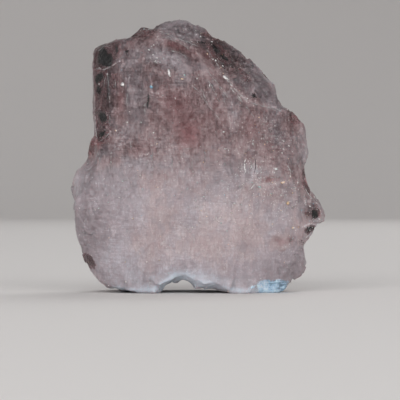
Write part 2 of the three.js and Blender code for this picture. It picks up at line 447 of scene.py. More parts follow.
ZONES = [
    # the upright prism at the left, clear from front to back, with its darkest windows painted near black as
    # painted shade
    Zone(Look.CLEAR, -20.2, 42.0, 1.5, 9.6, 0, Side.THROUGH, 5, -8.0, 13.0, 0.25),
    Zone(Look.CLEAR, -19.9, 34.5, 1.6, 4.6, 6, Side.THROUGH, 3, -9.0, 9.0, -0.4),
    Zone(Look.CLEAR, -18.6, 48.9, 2.9, 2.5, 0, Side.THROUGH, 4, -6.0, 8.0, -0.3),
    Zone(Look.CLEAR, -17.4, 43.0, 0.9, 2.2, 0, boxiness=3),
    Zone(Look.DARK, -18.9, 48.5, 1.9, 1.85, -14, boxiness=3, y=-6.0, half_depth=5.0, slant=0.3),
    Zone(Look.DARK, -20.4, 47.1, 0.7, 0.3, 14, y=-7.0, half_depth=3.0, slant=0.5),
    Zone(Look.DARK, -20.35, 44.0, 0.9, 0.95, boxiness=3, y=-8.0, half_depth=4.0, slant=-0.3),
    Zone(Look.DARK, -20.5, 41.1, 0.5, 1.1, boxiness=3, y=-8.0, half_depth=4.0, slant=0.4),
    Zone(Look.DARK, -19.6, 35.8, 1.0, 1.3, -6, y=-9.0, half_depth=4.0, slant=0.4),
    Zone(Look.DARK, -19.8, 32.3, 0.9, 0.8, 30, y=-8.5, half_depth=3.0, slant=-0.3),
    Zone(Look.DARK, -16.9, 49.8, 0.36, 1.2),
    Zone(Look.DARK, -14.8, 49.3, 0.4, 0.8),
    # the low bump beside the crown, and the windows of the bevelled break under the crown's right end,
    # whose darkest parts are painted shade
    Zone(Look.CLEAR, -11.0, 53.3, 2.3, 1.4, 10, Side.THROUGH, y=-5.0, half_depth=6.0, slant=-0.2),
    Zone(Look.CLEAR, 4.6, 48.9, 3.2, 1.3, -38),
    Zone(Look.CLEAR, 9.6, 44.4, 1.8, 0.7, -50),
    Zone(Look.DARK, 3.8, 49.7, 0.8, 1.9, 38, boxiness=2.5),
    Zone(Look.DARK, 5.4, 48.1, 1.5, 0.3, -32),
    Zone(Look.DARK, 5.2, 46.3, 0.3, 0.9, 10),
    Zone(Look.DARK, 0.8, 51.2, 0.9, 0.35, -8),
    Zone(Look.DARK, 11.4, 40.2, 0.7, 0.5),
    # windows along the right rim
    Zone(Look.CLEAR, 19.6, 36.6, 1.2, 2.0, 38, Side.THROUGH, y=-2.5, half_depth=3.5, slant=0.5),
    Zone(Look.CLEAR, 21.8, 24.3, 0.6, 1.2, 8, Side.THROUGH, y=-5.4, half_depth=3.0, slant=0.5),
    Zone(Look.CLEAR, 22.2, 21.4, 0.7, 1.6, 22, Side.THROUGH, y=-5.6, half_depth=3.4, slant=-0.4),
    # the nose at the right, and the small shard below it, with dark windows painted as shade
    Zone(Look.CLEAR, 24.2, 16.1, 1.0, 1.05, 22, Side.THROUGH, y=-5.0, half_depth=3.2, slant=0.3),
    Zone(Look.DARK, 24.0, 15.95, 0.8, 1.0, 8, boxiness=6, y=-5.0, half_depth=2.6, slant=0.3),
    Zone(Look.DARK, 24.1, 16.9, 0.3, 0.45, 30, y=-5.0, half_depth=2.0),
    Zone(Look.CLEAR, 22.55, 16.0, 0.6, 0.5),
    Zone(Look.CLEAR, 23.0, 12.6, 1.7, 0.8, 42, Side.THROUGH, y=-6.5, half_depth=3.6, slant=-0.4),
    Zone(Look.DARK, 22.9, 12.65, 1.4, 0.5, 42, boxiness=3, y=-6.5, half_depth=2.8, slant=-0.4),
    Zone(Look.DARK, 21.3, 10.2, 0.36, 0.4, y=-6.0, half_depth=2.0),
    # the lower left rim, and the hollow under the prism
    Zone(Look.CLEAR, -22.4, 6.6, 1.3, 2.1, 25, Side.THROUGH, y=-6.0, half_depth=3.2, slant=0.5),
    Zone(Look.CLEAR, -21.9, 29.6, 0.6, 1.4, 10, Side.THROUGH, y=-6.6, half_depth=3.0, slant=-0.5),
    # painted pale blue light through the foot at the right
    Zone(Look.FROST, 15.5, 0.7, 3.9, 1.8, 1, Side.THROUGH, 4, y=-7.0, half_depth=6.0, slant=-0.1),
    Zone(Look.FROST, 11.3, 0.9, 0.9, 0.4, 15),
    # the back, with windows of its own, the darkest painted as shade
    Zone(Look.CLEAR, 12.5, 44.0, 3.2, 1.9, 38, Side.BACK),
    Zone(Look.DARK, 11.6, 43.6, 1.1, 0.6, 38, Side.BACK),
    Zone(Look.CLEAR, -3.5, 50.2, 3.4, 1.6, 8, Side.BACK),
    Zone(Look.DARK, -4.5, 50.2, 1.2, 0.5, 8, Side.BACK),
    Zone(Look.CLEAR, -12.0, 40.5, 1.1, 3.6, 4, Side.BACK, 3),
    Zone(Look.DARK, -12.1, 41.6, 0.5, 1.4, 4, Side.BACK, 3),
    Zone(Look.CLEAR, 4.0, 33.0, 1.4, 2.6, -32, Side.BACK, 3),
]

PATCHES = [
    # deeper pink, where the crystal is soundest and along its thin rims
    *patches(
        Look.ROSE,
        (-3.1, 35.5, 5.5, 6, 0.55), (-6, 39.8, 4, 2.6, 0.4, -20), (10.7, 34.4, 2.2, 3.2, 0.6),
        (-15.9, 39.2, 1, 4.6, 0.7), (15, 29, 4.5, 4, 0.35), (3.4, 49.4, 1.8, 1.6, 0.7, -40),
        (-19.4, 12, 2.5, 4, 0.3), (4, 12, 9, 7, 0.25), (5, 36, 2.4, 3, 0.3), (-4.6, 50.6, 3, 0.8, 0.6, -24),
        (-13, 29.3, 4, 2, 0.5), (17.4, 10.2, 2.6, 1.5, 0.9), (14.7, 23, 1.3, 0.6, 0.8),
        (4.6, 49, 4.4, 2.2, 0.4, -38),
    ),
    Patch(Look.ROSE, -1.6, 32.0, 2.5, 2.8, boxiness=4, strength=0.65),
    Patch(Look.ROSE, 19.6, 36.3, 1.3, 1.7, 38, Side.THROUGH, y=-2.5, half_depth=3.0, slant=0.5, strength=1.5),
    Patch(Look.ROSE, 22.2, 22.5, 1.0, 2.4, 10, Side.THROUGH, y=-5.6, half_depth=3.0, slant=0.4, strength=0.8),
    Patch(Look.ROSE, -20.3, 31.2, 1.0, 1.0, 0, Side.THROUGH, y=-8.0, half_depth=3.0, slant=0.4, strength=1.2),
    Patch(Look.ROSE, -22.2, 29.6, 0.8, 1.5, 0, Side.THROUGH, 2, -6.6, 2.6, -0.5, strength=1.3),
    Patch(Look.ROSE, -22.7, 6.8, 1.2, 2.2, 25, Side.THROUGH, y=-6.0, half_depth=3.0, slant=0.5, strength=0.3),
    Patch(Look.ROSE, -11.2, 53.4, 2.4, 1.5, 0, Side.THROUGH, y=-5.0, half_depth=4.0, strength=1.1),
    Patch(Look.ROSE, 24.9, 16.0, 0.5, 0.9, y=-5.0, half_depth=3.0, strength=0.9),
    # greyer and lilac, where it is bruised
    *patches(
        Look.ROSE,
        (0, 3.6, 24, 3.6, -0.3), (-23.4, 14, 3, 10, -0.4), (17.5, 13, 4.5, 6, -0.25),
        (20, 6.6, 4, 4, -0.35), (-18, 21.5, 6, 3, -0.35), (-3.2, 53.6, 4.6, 2.4, -0.6, -12),
        (16, 4.4, 6, 2.6, -0.4), (-18, 20.5, 6, 4, -0.6), (-20, 10, 6, 6, -0.4),
        (-6.2, 47.8, 3.8, 1.5, -0.7, -22), (-12.6, 38, 2.4, 6, -0.4), (12.8, 42, 4, 2.2, -0.55, -45),
        (7.5, 36, 1.3, 2.4, -0.3, 10),
    ),
    # cloudier, by healed cracks that crowd
    *patches(
        Look.CLOUD,
        (-8.4, 52.6, 1.8, 1.4, 0.2), (-15.4, 34.6, 2, 5, 0.13), (13.4, 40.6, 3, 2.4, 0.1, -45),
        (11, 35.2, 2.4, 3.4, 0.1), (-18.6, 5.6, 3, 4, 0.13), (2.8, 28.8, 1.8, 1.8, 0.12),
        (-12.6, 36.6, 2.2, 5.6, 0.07), (-7, 48, 3.4, 1.1, 0.1, -22), (2, 45.6, 2.2, 1.9, 0.34),
        (11, 41.5, 1.8, 1.6, 0.15, -45), (9, 29.5, 3, 2, 0.1), (-6, 45.2, 2, 1.4, 0.14),
        (-13.6, 41.6, 2.4, 1.6, 0.14), (-14, 8.8, 5, 2, 0.1), (0, 18, 4, 4, 0.07),
        (-3.6, 46.3, 1.8, 0.8, 0.1, -35), (18.5, 31, 4, 6, 0.08), (7.5, 36, 1.3, 2.4, 0.12, 10),
        (-14.2, 47.2, 2.4, 0.7, 0.25, 24), (-9, 48.3, 1.4, 1, 0.16, -30), (11.8, 25.3, 0.6, 1.9, 0.22, 4),
        (-20, 26.5, 1.3, 2.2, 0.05, 10),
    ),
    Patch(Look.CLOUD, 20.6, 30.4, 1.6, 3.0, 0, Side.THROUGH, strength=0.2),
    Patch(Look.CLOUD, -24.4, 23.0, 1.4, 3.0, 0, Side.THROUGH, y=-5.0, half_depth=6.0, strength=0.2),
    Patch(Look.CLOUD, 14.5, 44.6, 4.0, 0.8, -50, Side.THROUGH, strength=0.25),
    # clearer, by fewer of them
    *patches(
        Look.CLOUD,
        (19.6, 36.3, 1.1, 1.6, -0.4, 38), (-13, 1.2, 5, 1.4, -0.14), (-3.2, 53.6, 4.4, 2.2, -0.06, -12),
        (2.4, 52.2, 2.4, 1.6, -0.12, -20), (-4.2, 50.4, 2.4, 0.8, -0.2, -26), (-19.4, 41.5, 2.2, 9.6, -0.6),
        (-14.8, 29.3, 5, 2.2, -0.26), (19, 33.4, 1.6, 1.6, -0.16), (1, 10.6, 8.5, 3.6, -0.03),
        (17.6, 4.4, 5, 2.4, -0.2), (23.6, 17, 1.5, 2.4, -0.45), (-11.2, 53.6, 2.4, 1.3, -0.8),
        (16, 10.8, 0.9, 0.5, -0.26, 12), (19, 10.8, 0.7, 0.5, -0.3, 40), (17.6, 8.4, 0.7, 0.4, -0.26, -10),
        (14.7, 23, 1.3, 0.6, -0.15), (-13.4, 38, 2.6, 6, -0.06), (22.55, 16, 0.6, 0.5, -0.5),
        # the rows here near x 4 to 7 and z 47 to 49 darken the bevel's windows, as painted shade
        (4.1, 49.3, 1.8, 2.4, -0.85, 34), (-9.2, 46.9, 1.3, 0.4, -0.3, -25), (6, 47.6, 3, 0.8, -0.3, -32),
        (7, 47, 6.4, 3, -0.26, -44), (4, 48.8, 3.6, 1.8, -0.2, -34), (-23, 12, 4, 9, -0.14),
        (21, 10, 3, 7, -0.14), (-20.5, 17, 5, 7, -0.16),
    ),
    Patch(Look.CLOUD, -22.7, 6.8, 1.4, 2.4, 25, Side.THROUGH, 2, -6.0, 3.0, 0.5, strength=-0.3),
    Patch(Look.CLOUD, -1.3, 39.0, 2.8, 2.2, boxiness=3, strength=-0.14),
    # painted pale bluish light, over the foot
    *patches(
        Look.PALE,
        (-14, 5.8, 6, 4, 0.26), (0, 3.4, 16, 2.2, 0.26),
    ),
    # crowds of fine painted sparkles, and a dull end to the painted glow of the foot
    *patches(
        Look.SPARKLE,
        (-4, 53.2, 6, 2.4, 0.7), (-9.3, 48.6, 1.6, 1.2, 0.9, -30), (14.6, 22.8, 6.4, 3.6, 0.9),
        (10.6, 24.6, 1.4, 2.6, 0.5), (18.6, 17.6, 4.4, 3.6, 0.9), (7, 18, 8, 5, 0.4), (12, 30, 7, 7, 0.35),
        (23.4, 18, 1.8, 2.8, 1), (4.6, 14.7, 1.3, 1.1, 0.7), (-1.7, 13.3, 1.1, 0.9, 0.6),
        (15, 32, 5, 4, 0.6), (-15.6, 43.5, 3, 3, 0.25), (-13, 29, 5, 3.4, 0.25), (-17.5, 19.5, 5, 3, 0.2),
        (20, 7, 3.4, 5, 0.6), (8, 46, 6, 3, 0.9, -45),
    ),
    Patch(Look.SPARKLE, 17.9, 2.0, 1.9, 2.2, 0, Side.THROUGH, y=-7.0, half_depth=6.0, strength=-0.85),
    # the back, with its own clear, rosy and sparkling parts
    *patches(
        Look.ROSE,
        (2, 33, 6, 5, 0.5), (-13, 30, 4, 5, 0.4, 20), (11, 16, 5, 4, 0.4),
        side=Side.BACK,
    ),
    *patches(
        Look.CLOUD,
        (-8, 44, 4, 2, 0.25, 20), (8, 38, 3.5, 5, 0.22, -30), (14, 26, 4, 4, -0.2), (-18, 24, 3, 4, -0.2),
        side=Side.BACK,
    ),
    *patches(
        Look.SPARKLE,
        (3, 30, 12, 8, 0.35), (-12, 14, 5, 5, 0.4),
        side=Side.BACK,
    ),
]

ARCS = [
    # the shell-shaped break below the crown
    Arc(Look.CLOUD, 5.1, 0.8, 10.0, 125.0, 0.18, 0.15),
    Arc(Look.CLOUD, 3.8, 0.4, 20.0, 110.0, 0.16, 0.05),
    Arc(Look.CLOUD, 7.1, 0.6, 44.0, 84.0, -0.22, -0.12),
    Arc(Look.ROSE, 7.5, 0.8, 36.0, 90.0, 0.5),
    Arc(Look.CLOUD, 8.5, 0.35, 10.0, 110.0, 0.2, 0.12),
    Arc(Look.ROSE, 9.8, 0.8, 20.0, 95.0, 0.35),
    Arc(Look.CLOUD, 11.2, 0.4, 5.0, 60.0, 0.16, 0.08),
    # ripples that fan out below the crest
    Arc(Look.CLOUD, 12.6, 0.35, -38.0, 15.0, 0.18, 0.06),
    Arc(Look.CLOUD, 10.6, 0.3, -42.0, 0.0, 0.16, 0.05),
    Arc(Look.ROSE, 11.6, 0.5, -40.0, 10.0, 0.4),
]

CRESTS = [
    # between the front and the bevelled break
    Crest(CREST_LINE, 0.45, 0.28, 0.0),
    Crest(((10.3, 39.2), (13.4, 38.0), (17.5, 37.2)), 0.5, 0.2, -0.14),
    Crest(CROWN_LINE, 0.5, 0.22, -0.1),
    # edges of the prism
    Crest(((-21.6, 51.0), (-21.7, 45.0), (-21.4, 36.0), (-20.9, 31.0)), 0.3, 0.05, 0.18),
    Crest(((-18.8, 45.4), (-18.8, 32.4)), 0.3, 0.2, 0.06),
    Crest(((-14.7, 44.0), (-14.7, 32.0)), 0.35, 0.12, -0.08),
    Crest(((-21.6, 45.7), (-19.0, 45.9), (-16.1, 47.4)), 0.3, 0.2, 0.16),
    Crest(((-20.8, 30.8), (-17.6, 33.3)), 0.4, 0.15, 0.04),
    # rims of the nose and the shard
    Crest(((22.0, 18.6), (24.6, 18.2), (25.6, 16.2), (25.0, 14.6), (23.2, 14.6)), 0.3, 0.05, 0.12),
    Crest(((21.4, 13.2), (23.0, 14.0), (24.6, 13.9)), 0.3, 0.05, 0.14),
    Crest(((24.4, 13.6), (22.6, 11.2)), 0.3, 0.05, 0.08),
    # a step that runs down beside the right rim
    Crest(((18.8, 24.6), (19.8, 21.0), (20.3, 19.6)), 0.35, 0.2, 0.0),
]

# painted glints: each fleck is coloured near white or tinted, as a highlight, at the places listed
FLECKS = [
    *flecks(
        (-15.5, 42.6, 1.2, 1.05), (-6, 45.1, 0.75, 2.3, 14), (-9.63, 42.11, 0.85, 0.75, 0, -1.1),
        (-16.94, 33.15, 0.54, 0.45, 0, 0.8, 0.9), (-10.14, 49.72, 0.54, 0.41, 0, 0.3, 0.9),
        (-9.32, 48.7, 0.45, 0.41, 0, 0, 0.8), (-8.49, 48.08, 0.62, 0.33, -30, 0, 0.8),
        (-8.8, 47.46, 0.41, 0.33, 0, 0, 0.7), (-7.88, 47.15, 0.41, 0.29, 0, 0, 0.6),
        (-9.11, 50.75, 0.33, 0.33, 0, 0, 0.7), (-8.49, 51.37, 0.29, 0.37, 0, 0.4, 0.6),
        (-9.63, 50.45, 0.29, 0.29, 0, 0, 0.6), (0.46, 52.48, 0.62, 0.41, -30, 0, 0.9),
        (2.79, 51.41, 0.54, 0.45, 0, 0.2, 0.9), (1.84, 48.9, 0.33, 0.62, 10, 1, 0.9),
        (3.04, 47.75, 0.41, 0.41, 0, -0.4), (3.57, 47.54, 0.49, 0.41), (3.92, 47.87, 0.29, 0.29, 0, 0, 0.8),
        (5.03, 46.43, 0.41, 0.62, 10, 0, 0.9), (5.14, 44.87, 0.29, 0.33, 0, 1, 0.8),
        (5.5, 44.1, 1.9, 0.75, -42), (6.78, 42.48, 0.54, 0.33, -30, 0, 0.8),
        (7.46, 41.69, 0.41, 0.29, -45, 0.3, 0.6), (2.32, 42.37, 0.27, 0.74, 0, -0.3, 0.9),
        (-2.89, 44.54, 0.6, 0.5, 0, -0.75, 0.9), (-3.35, 43.75, 0.8, 0.4, 0, 1.15, 0.95),
        (-0.26, 43.86, 0.49, 0.41, 0, 0.2, 0.8), (-4.73, 39.74, 0.29, 0.66, 10, 0, 0.7),
        (-7.26, 40.38, 0.33, 0.33, 0, 0, 0.5), (-9.23, 32.68, 0.41, 0.49, 0, 0, 0.9),
        (-14.57, 34.82, 0.45, 0.49, 0, 0, 0.7), (-20.39, 42.72, 0.37, 0.49, 0, 0, 0.6),
        (-18.69, 44.78, 0.29, 0.49, 30, 0, 0.6), (-21.16, 37.78, 0.27, 0.37, 0, 0, 0.5),
        (5.2, 32.84, 0.49, 0.54, 0, 0.1, 0.8), (5.51, 29.34, 0.54, 0.45, 0, 0, 0.7),
        (6.25, 29.03, 0.33, 0.45, 0, 0, 0.6), (11.27, 30.37, 0.37, 0.7, 0, 0, 0.7),
        (17.59, 30.91, 0.45, 0.41, 0, 0, 0.9), (18.69, 29.96, 0.49, 0.37, -30, 0.2, 0.9),
        (17.45, 29.34, 0.33, 0.45, 0, 0, 0.7), (17.24, 28.52, 0.41, 0.37, 0, 0.1, 0.8),
        (16.01, 25.22, 0.85, 0.7, 0, -0.5, 0.9), (15.7, 24.48, 0.37, 0.45, 0, -0.1, 0.8),
        (18.93, 23.78, 0.27, 0.7, 6, 0, 0.9), (17.39, 22.44, 1.25, 0.5, 8, 0.85),
        (15.19, 22.46, 0.62, 0.25, 0, 0.8, 0.6), (12.61, 21.52, 0.85, 0.5, 0, -0.75, 0.85),
        (11.17, 22.42, 0.49, 0.37, 0, -0.4, 0.6), (9.69, 24.61, 0.29, 0.49, 0, 0, 0.9),
        (9.54, 25.84, 0.25, 0.62, 6, 0, 0.8), (20.44, 22.44, 0.33, 0.62, -10, 0.5, 0.9),
        (20.54, 21, 0.29, 0.41, 30, 0, 0.7), (17.04, 19.75, 0.37, 0.62, 0, 0.5, 0.8),
        (15.04, 20.08, 0.37, 0.49, 0, -0.4, 0.6), (18.48, 18.18, 0.95, 0.85, 0, 0.95, 0.85),
        (19.41, 20.28, 0.45, 0.41, 0, 0.8, 0.5), (20.29, 18.43, 0.37, 0.45, 0, 0, 0.7),
        (7.44, 18.1, 0.66, 0.37, 0, 0, 0.8), (6.91, 16.2, 0.49, 0.41, -20, 0.3, 0.8),
        (4.52, 15.22, 0.33, 0.49, 0, 0.8, 0.8), (3.74, 15.13, 0.21, 0.7, 10, 0, 0.7),
        (4.68, 14.1, 0.7, 0.25, 20, -0.2, 0.6), (-0.59, 18.63, 0.37, 0.37, 0, 0, 0.6),
        (-0.34, 17.52, 0.33, 0.45, 0, 0, 0.6), (-1.2, 13.18, 0.37, 0.41, 0, 0.4, 0.8),
        (-2.11, 12.87, 0.45, 0.25, 20, 0, 0.7), (-1.7, 12.33, 0.33, 0.29, 0, 0.3, 0.6),
        (19.55, 13.07, 0.85, 0.65, 0, 0.8, 0.85), (20.64, 13.2, 0.49, 0.41, 0, 0.8, 0.5),
        (21.98, 18.22, 0.54, 0.29, 30, 0, 0.8), (23.01, 17.48, 0.58, 0.37, 0, -0.3, 0.9),
        (23.83, 19.46, 0.45, 0.37, -30, 0, 0.8), (24.33, 18.22, 0.33, 0.33, 0, 0, 0.7),
        (22.95, 12.6, 0.3, 0.36, 20, -0.4, 0.5), (23.45, 13.2, 0.3, 0.26, 40, -0.3, 0.6),
        (22.2, 11.75, 0.26, 0.3, 0, -0.3, 0.45), (24.45, 16.9, 0.26, 0.3, 0, 0, 0.5),
        (23.7, 15, 0.3, 0.24, 0, -0.3, 0.5), (24.86, 14.93, 0.41, 0.33, 0, 0, 0.9),
        (23.96, 13.07, 0.45, 0.29, 30, 0, 0.9), (-7.11, 10.29, 0.45, 0.41, 0, 0.3, 0.7),
        (-7.96, 6.49, 0.49, 0.37, 0, 0.9, 0.6), (-15.04, 6.07, 0.37, 0.37, 0, 0.6, 0.5),
        (-14.92, 1.96, 0.54, 0.45, 0, 0.3, 0.8), (-9.93, 1.83, 0.49, 0.45, 0, 0.1, 0.7),
        (-13.48, 15.01, 0.41, 0.37, 0, 0.9, 0.6), (-11.91, 23.86, 0.49, 0.45, 0, 0.8, 0.7),
        (-15.58, 22.67, 0.45, 0.33, 0, -0.2, 0.7), (-16.32, 19.33, 0.7, 0.25, 0, -0.1, 0.7),
        (-8.33, 21.43, 0.37, 0.37, 0, 0.6, 0.6), (-1.08, 24.71, 0.33, 0.37, 0, 0, 0.6),
        (-0.55, 18.72, 0.33, 0.33, 0, 0, 0.6), (-17.96, 26.66, 0.37, 0.45, 0, 0, 0.6),
        (-5.4, 26.05, 0.29, 0.58, 0, 0, 0.5),
    ),
    # painted glints on the back
    *flecks(
        (6.2, 40.3, 0.9, 0.7, 10, 0, 1), (-7.5, 36.6, 0.5, 0.9, 30, 0.3, 0.9),
        (-15.4, 22, 0.7, 0.6, 0, 0.8, 0.8), (1.4, 19, 0.9, 0.4, 30, 0, 0.9),
        (12, 29.5, 0.5, 0.5, 0, -0.6, 0.8), (-2.6, 27.4, 0.4, 0.7, 10, 0, 0.8),
        (16.5, 14, 0.6, 0.4, -20, 0.5, 0.8),
        side=Side.BACK,
    ),
]

STROKES = [
    # painted highlights along the ledge and the upright edges of the prism
    Stroke(
        ((-21.6, 45.7), (-20.4, 46.0), (-19.6, 45.6), (-18.8, 45.9), (-17.6, 46.5), (-16.3, 47.3)), 0.15, 0.3
    ),
    Stroke(((-19.4, 45.2), (-18.6, 44.4), (-18.4, 41.5), (-18.2, 37.4), (-18.4, 34.3)), 0.13, 0.24),
    Stroke(((-18.9, 44.6), (-19.3, 43.5), (-19.2, 42.1)), 0.14, 0.35),
    Stroke(((-17.1, 44.0), (-17.0, 41.5)), 0.12, 0.25),
    Stroke(((-14.6, 42.3), (-14.7, 39.4), (-14.6, 37.0)), 0.16, 0.3),
    Stroke(((-21.5, 50.1), (-21.7, 45.6), (-21.5, 41.1), (-21.3, 35.3), (-20.8, 31.2)), 0.16, 0.3),
    Stroke(((-20.8, 30.6), (-19.2, 31.6), (-17.6, 33.3)), 0.18, 0.35),
    Stroke(((-20.6, 49.3), (-19.6, 50.4), (-18.0, 50.6)), 0.16, 0.25),
    # a painted highlight along the crest
    Stroke(((1.6, 49.9), (2.6, 48.7), (3.3, 47.5)), 0.16, 0.25),
    Stroke(((3.4, 47.5), (4.3, 46.0), (5.1, 44.6)), 0.18, 0.4),
    Stroke(((5.1, 44.7), (6.0, 43.5), (6.9, 42.3), (8.4, 40.7), (10.5, 38.9)), 0.24, 0.35),
    Stroke(((5.7, 43.1), (7.4, 41.1), (9.2, 39.2)), 0.2, 0.35),
    Stroke(((10.5, 38.9), (13.1, 38.2), (17.5, 37.2)), 0.2, 0.3),
    # a painted highlight along the edge of the crown
    Stroke(((-8.7, 53.8), (-6.4, 53.0), (-3.6, 51.8), (-1.5, 51.1), (0.2, 50.3)), 0.16, 0.16),
    # cracks that fan out under the crest
    Stroke(((-1.5, 42.7), (0.2, 41.0), (1.2, 39.4), (2.2, 38.2), (3.4, 36.8), (4.5, 35.3)), 0.16, 0.4),
    Stroke(((0.6, 41.9), (1.4, 40.0), (2.0, 38.0)), 0.16, 0.35),
    Stroke(((2.0, 43.5), (3.2, 41.5), (4.3, 39.0)), 0.14, 0.3),
    Stroke(((3.7, 43.1), (4.9, 40.9), (5.7, 38.2)), 0.14, 0.3),
    Stroke(((1.4, 46.0), (3.0, 44.0), (4.7, 41.9), (6.3, 39.6)), 0.16, 0.3),
    Stroke(((7.8, 40.3), (9.8, 38.2), (11.7, 35.7)), 0.16, 0.3),
    # ripples of the shell-shaped break
    Stroke(((-6.2, 49.5), (-4.6, 49.4), (-3.1, 48.7), (-2.1, 47.7)), 0.16, 0.3),
    Stroke(((-5.6, 48.2), (-4.2, 47.7), (-2.9, 46.8)), 0.14, 0.3),
    Stroke(((-10.2, 48.3), (-9.1, 47.3), (-7.9, 46.8)), 0.3, 0.5),
    Stroke(((-7.9, 52.4), (-5.6, 51.9), (-3.1, 50.8), (-1.1, 49.1)), 0.14, 0.13),
    # the cluster of curled cracks right of the middle
    Stroke(((9.9, 27.5), (9.5, 26.5), (9.6, 25.0), (10.0, 24.0)), 0.24, 1.0),
    Stroke(((10.7, 27.1), (11.0, 25.8), (10.4, 25.0), (10.4, 23.9)), 0.22, 0.9),
    Stroke(((11.5, 26.9), (11.3, 25.6), (11.6, 24.6)), 0.2, 0.8),
    Stroke(((8.9, 26.6), (9.0, 25.6), (8.7, 24.7)), 0.18, 0.7),
    Stroke(((10.0, 22.9), (9.1, 21.6), (8.6, 20.6)), 0.16, 0.6),
    Stroke(((12.0, 22.6), (11.1, 21.5), (10.3, 20.4)), 0.16, 0.5),
    Stroke(((12.6, 26.3), (12.9, 25.2), (12.7, 24.0)), 0.18, 0.6),
    Stroke(((18.8, 27.1), (18.5, 25.8), (18.9, 24.8), (19.1, 23.5)), 0.24, 0.75),
    # a dark crack, painted as shade
    Stroke(((11.8, 27.5), (11.8, 25.8), (11.6, 24.2)), 0.18, 1.0, Look.DARK),
    Stroke(((5.5, 18.2), (6.9, 18.3), (8.4, 18.0)), 0.14, 0.5),
    Stroke(((3.8, 15.8), (3.6, 15.1), (4.1, 14.4)), 0.14, 0.6),
    Stroke(((8.8, 20.2), (9.6, 20.7), (10.2, 20.4)), 0.14, 0.4),
    # painted highlights along the rims of the nose and the shard
    Stroke(
        ((21.6, 21.7), (22.6, 20.1), (23.8, 18.8), (25.1, 17.4), (25.8, 16.2), (25.5, 14.8), (24.2, 14.1)),
        0.2,
        0.45,
    ),
    Stroke(((23.1, 15.1), (23.8, 14.4), (24.9, 14.7)), 0.14, 0.4),
    Stroke(((21.8, 10.6), (22.8, 11.8), (24.0, 13.1), (24.0, 13.7)), 0.22, 0.6),
    Stroke(((22.2, 12.0), (22.8, 13.2), (23.6, 13.7)), 0.16, 0.4),
    # the open slit beside the rose heart, painted dark as shade, and a light crack beside it
    Stroke(((-10.3, 41.0), (-10.2, 39.8), (-10.4, 38.8), (-10.4, 37.4)), 0.42, 1.0, Look.DARK),
    Stroke(((-10.8, 39.6), (-11.0, 38.2), (-11.0, 36.1)), 0.14, 0.4),
    # upright and level threads of the cloudy part
    Stroke(((-9.4, 29.1), (-9.5, 27.1), (-9.4, 25.4)), 0.12, 0.35),
    Stroke(((-8.3, 29.5), (-8.4, 27.5)), 0.12, 0.3),
    Stroke(((-10.5, 27.9), (-10.6, 25.0)), 0.12, 0.3),
    Stroke(((-5.3, 29.1), (-5.4, 25.8)), 0.12, 0.3),
    Stroke(((-14.0, 31.2), (-13.8, 28.7)), 0.12, 0.25),
    Stroke(((-17.9, 29.5), (-18.0, 26.7), (-17.8, 25.0)), 0.14, 0.3),
    Stroke(((-20.8, 29.5), (-20.3, 27.1), (-20.2, 23.4)), 0.14, 0.3),
    Stroke(((1.4, 29.1), (1.5, 26.3)), 0.12, 0.3),
    Stroke(((-1.2, 28.3), (-1.3, 24.6)), 0.12, 0.25),
    Stroke(((6.7, 27.1), (6.8, 24.2)), 0.12, 0.25),
    Stroke(((-16.1, 22.9), (-12.8, 23.0)), 0.12, 0.25),
    Stroke(((-22.7, 24.6), (-19.4, 24.7)), 0.12, 0.25),
    Stroke(((-0.5, 29.4), (-3.3, 29.3)), 0.14, 0.3),
    Stroke(((13.1, 32.0), (16.8, 32.1)), 0.12, 0.3),
    Stroke(((14.4, 23.4), (17.7, 23.5)), 0.12, 0.3),
]

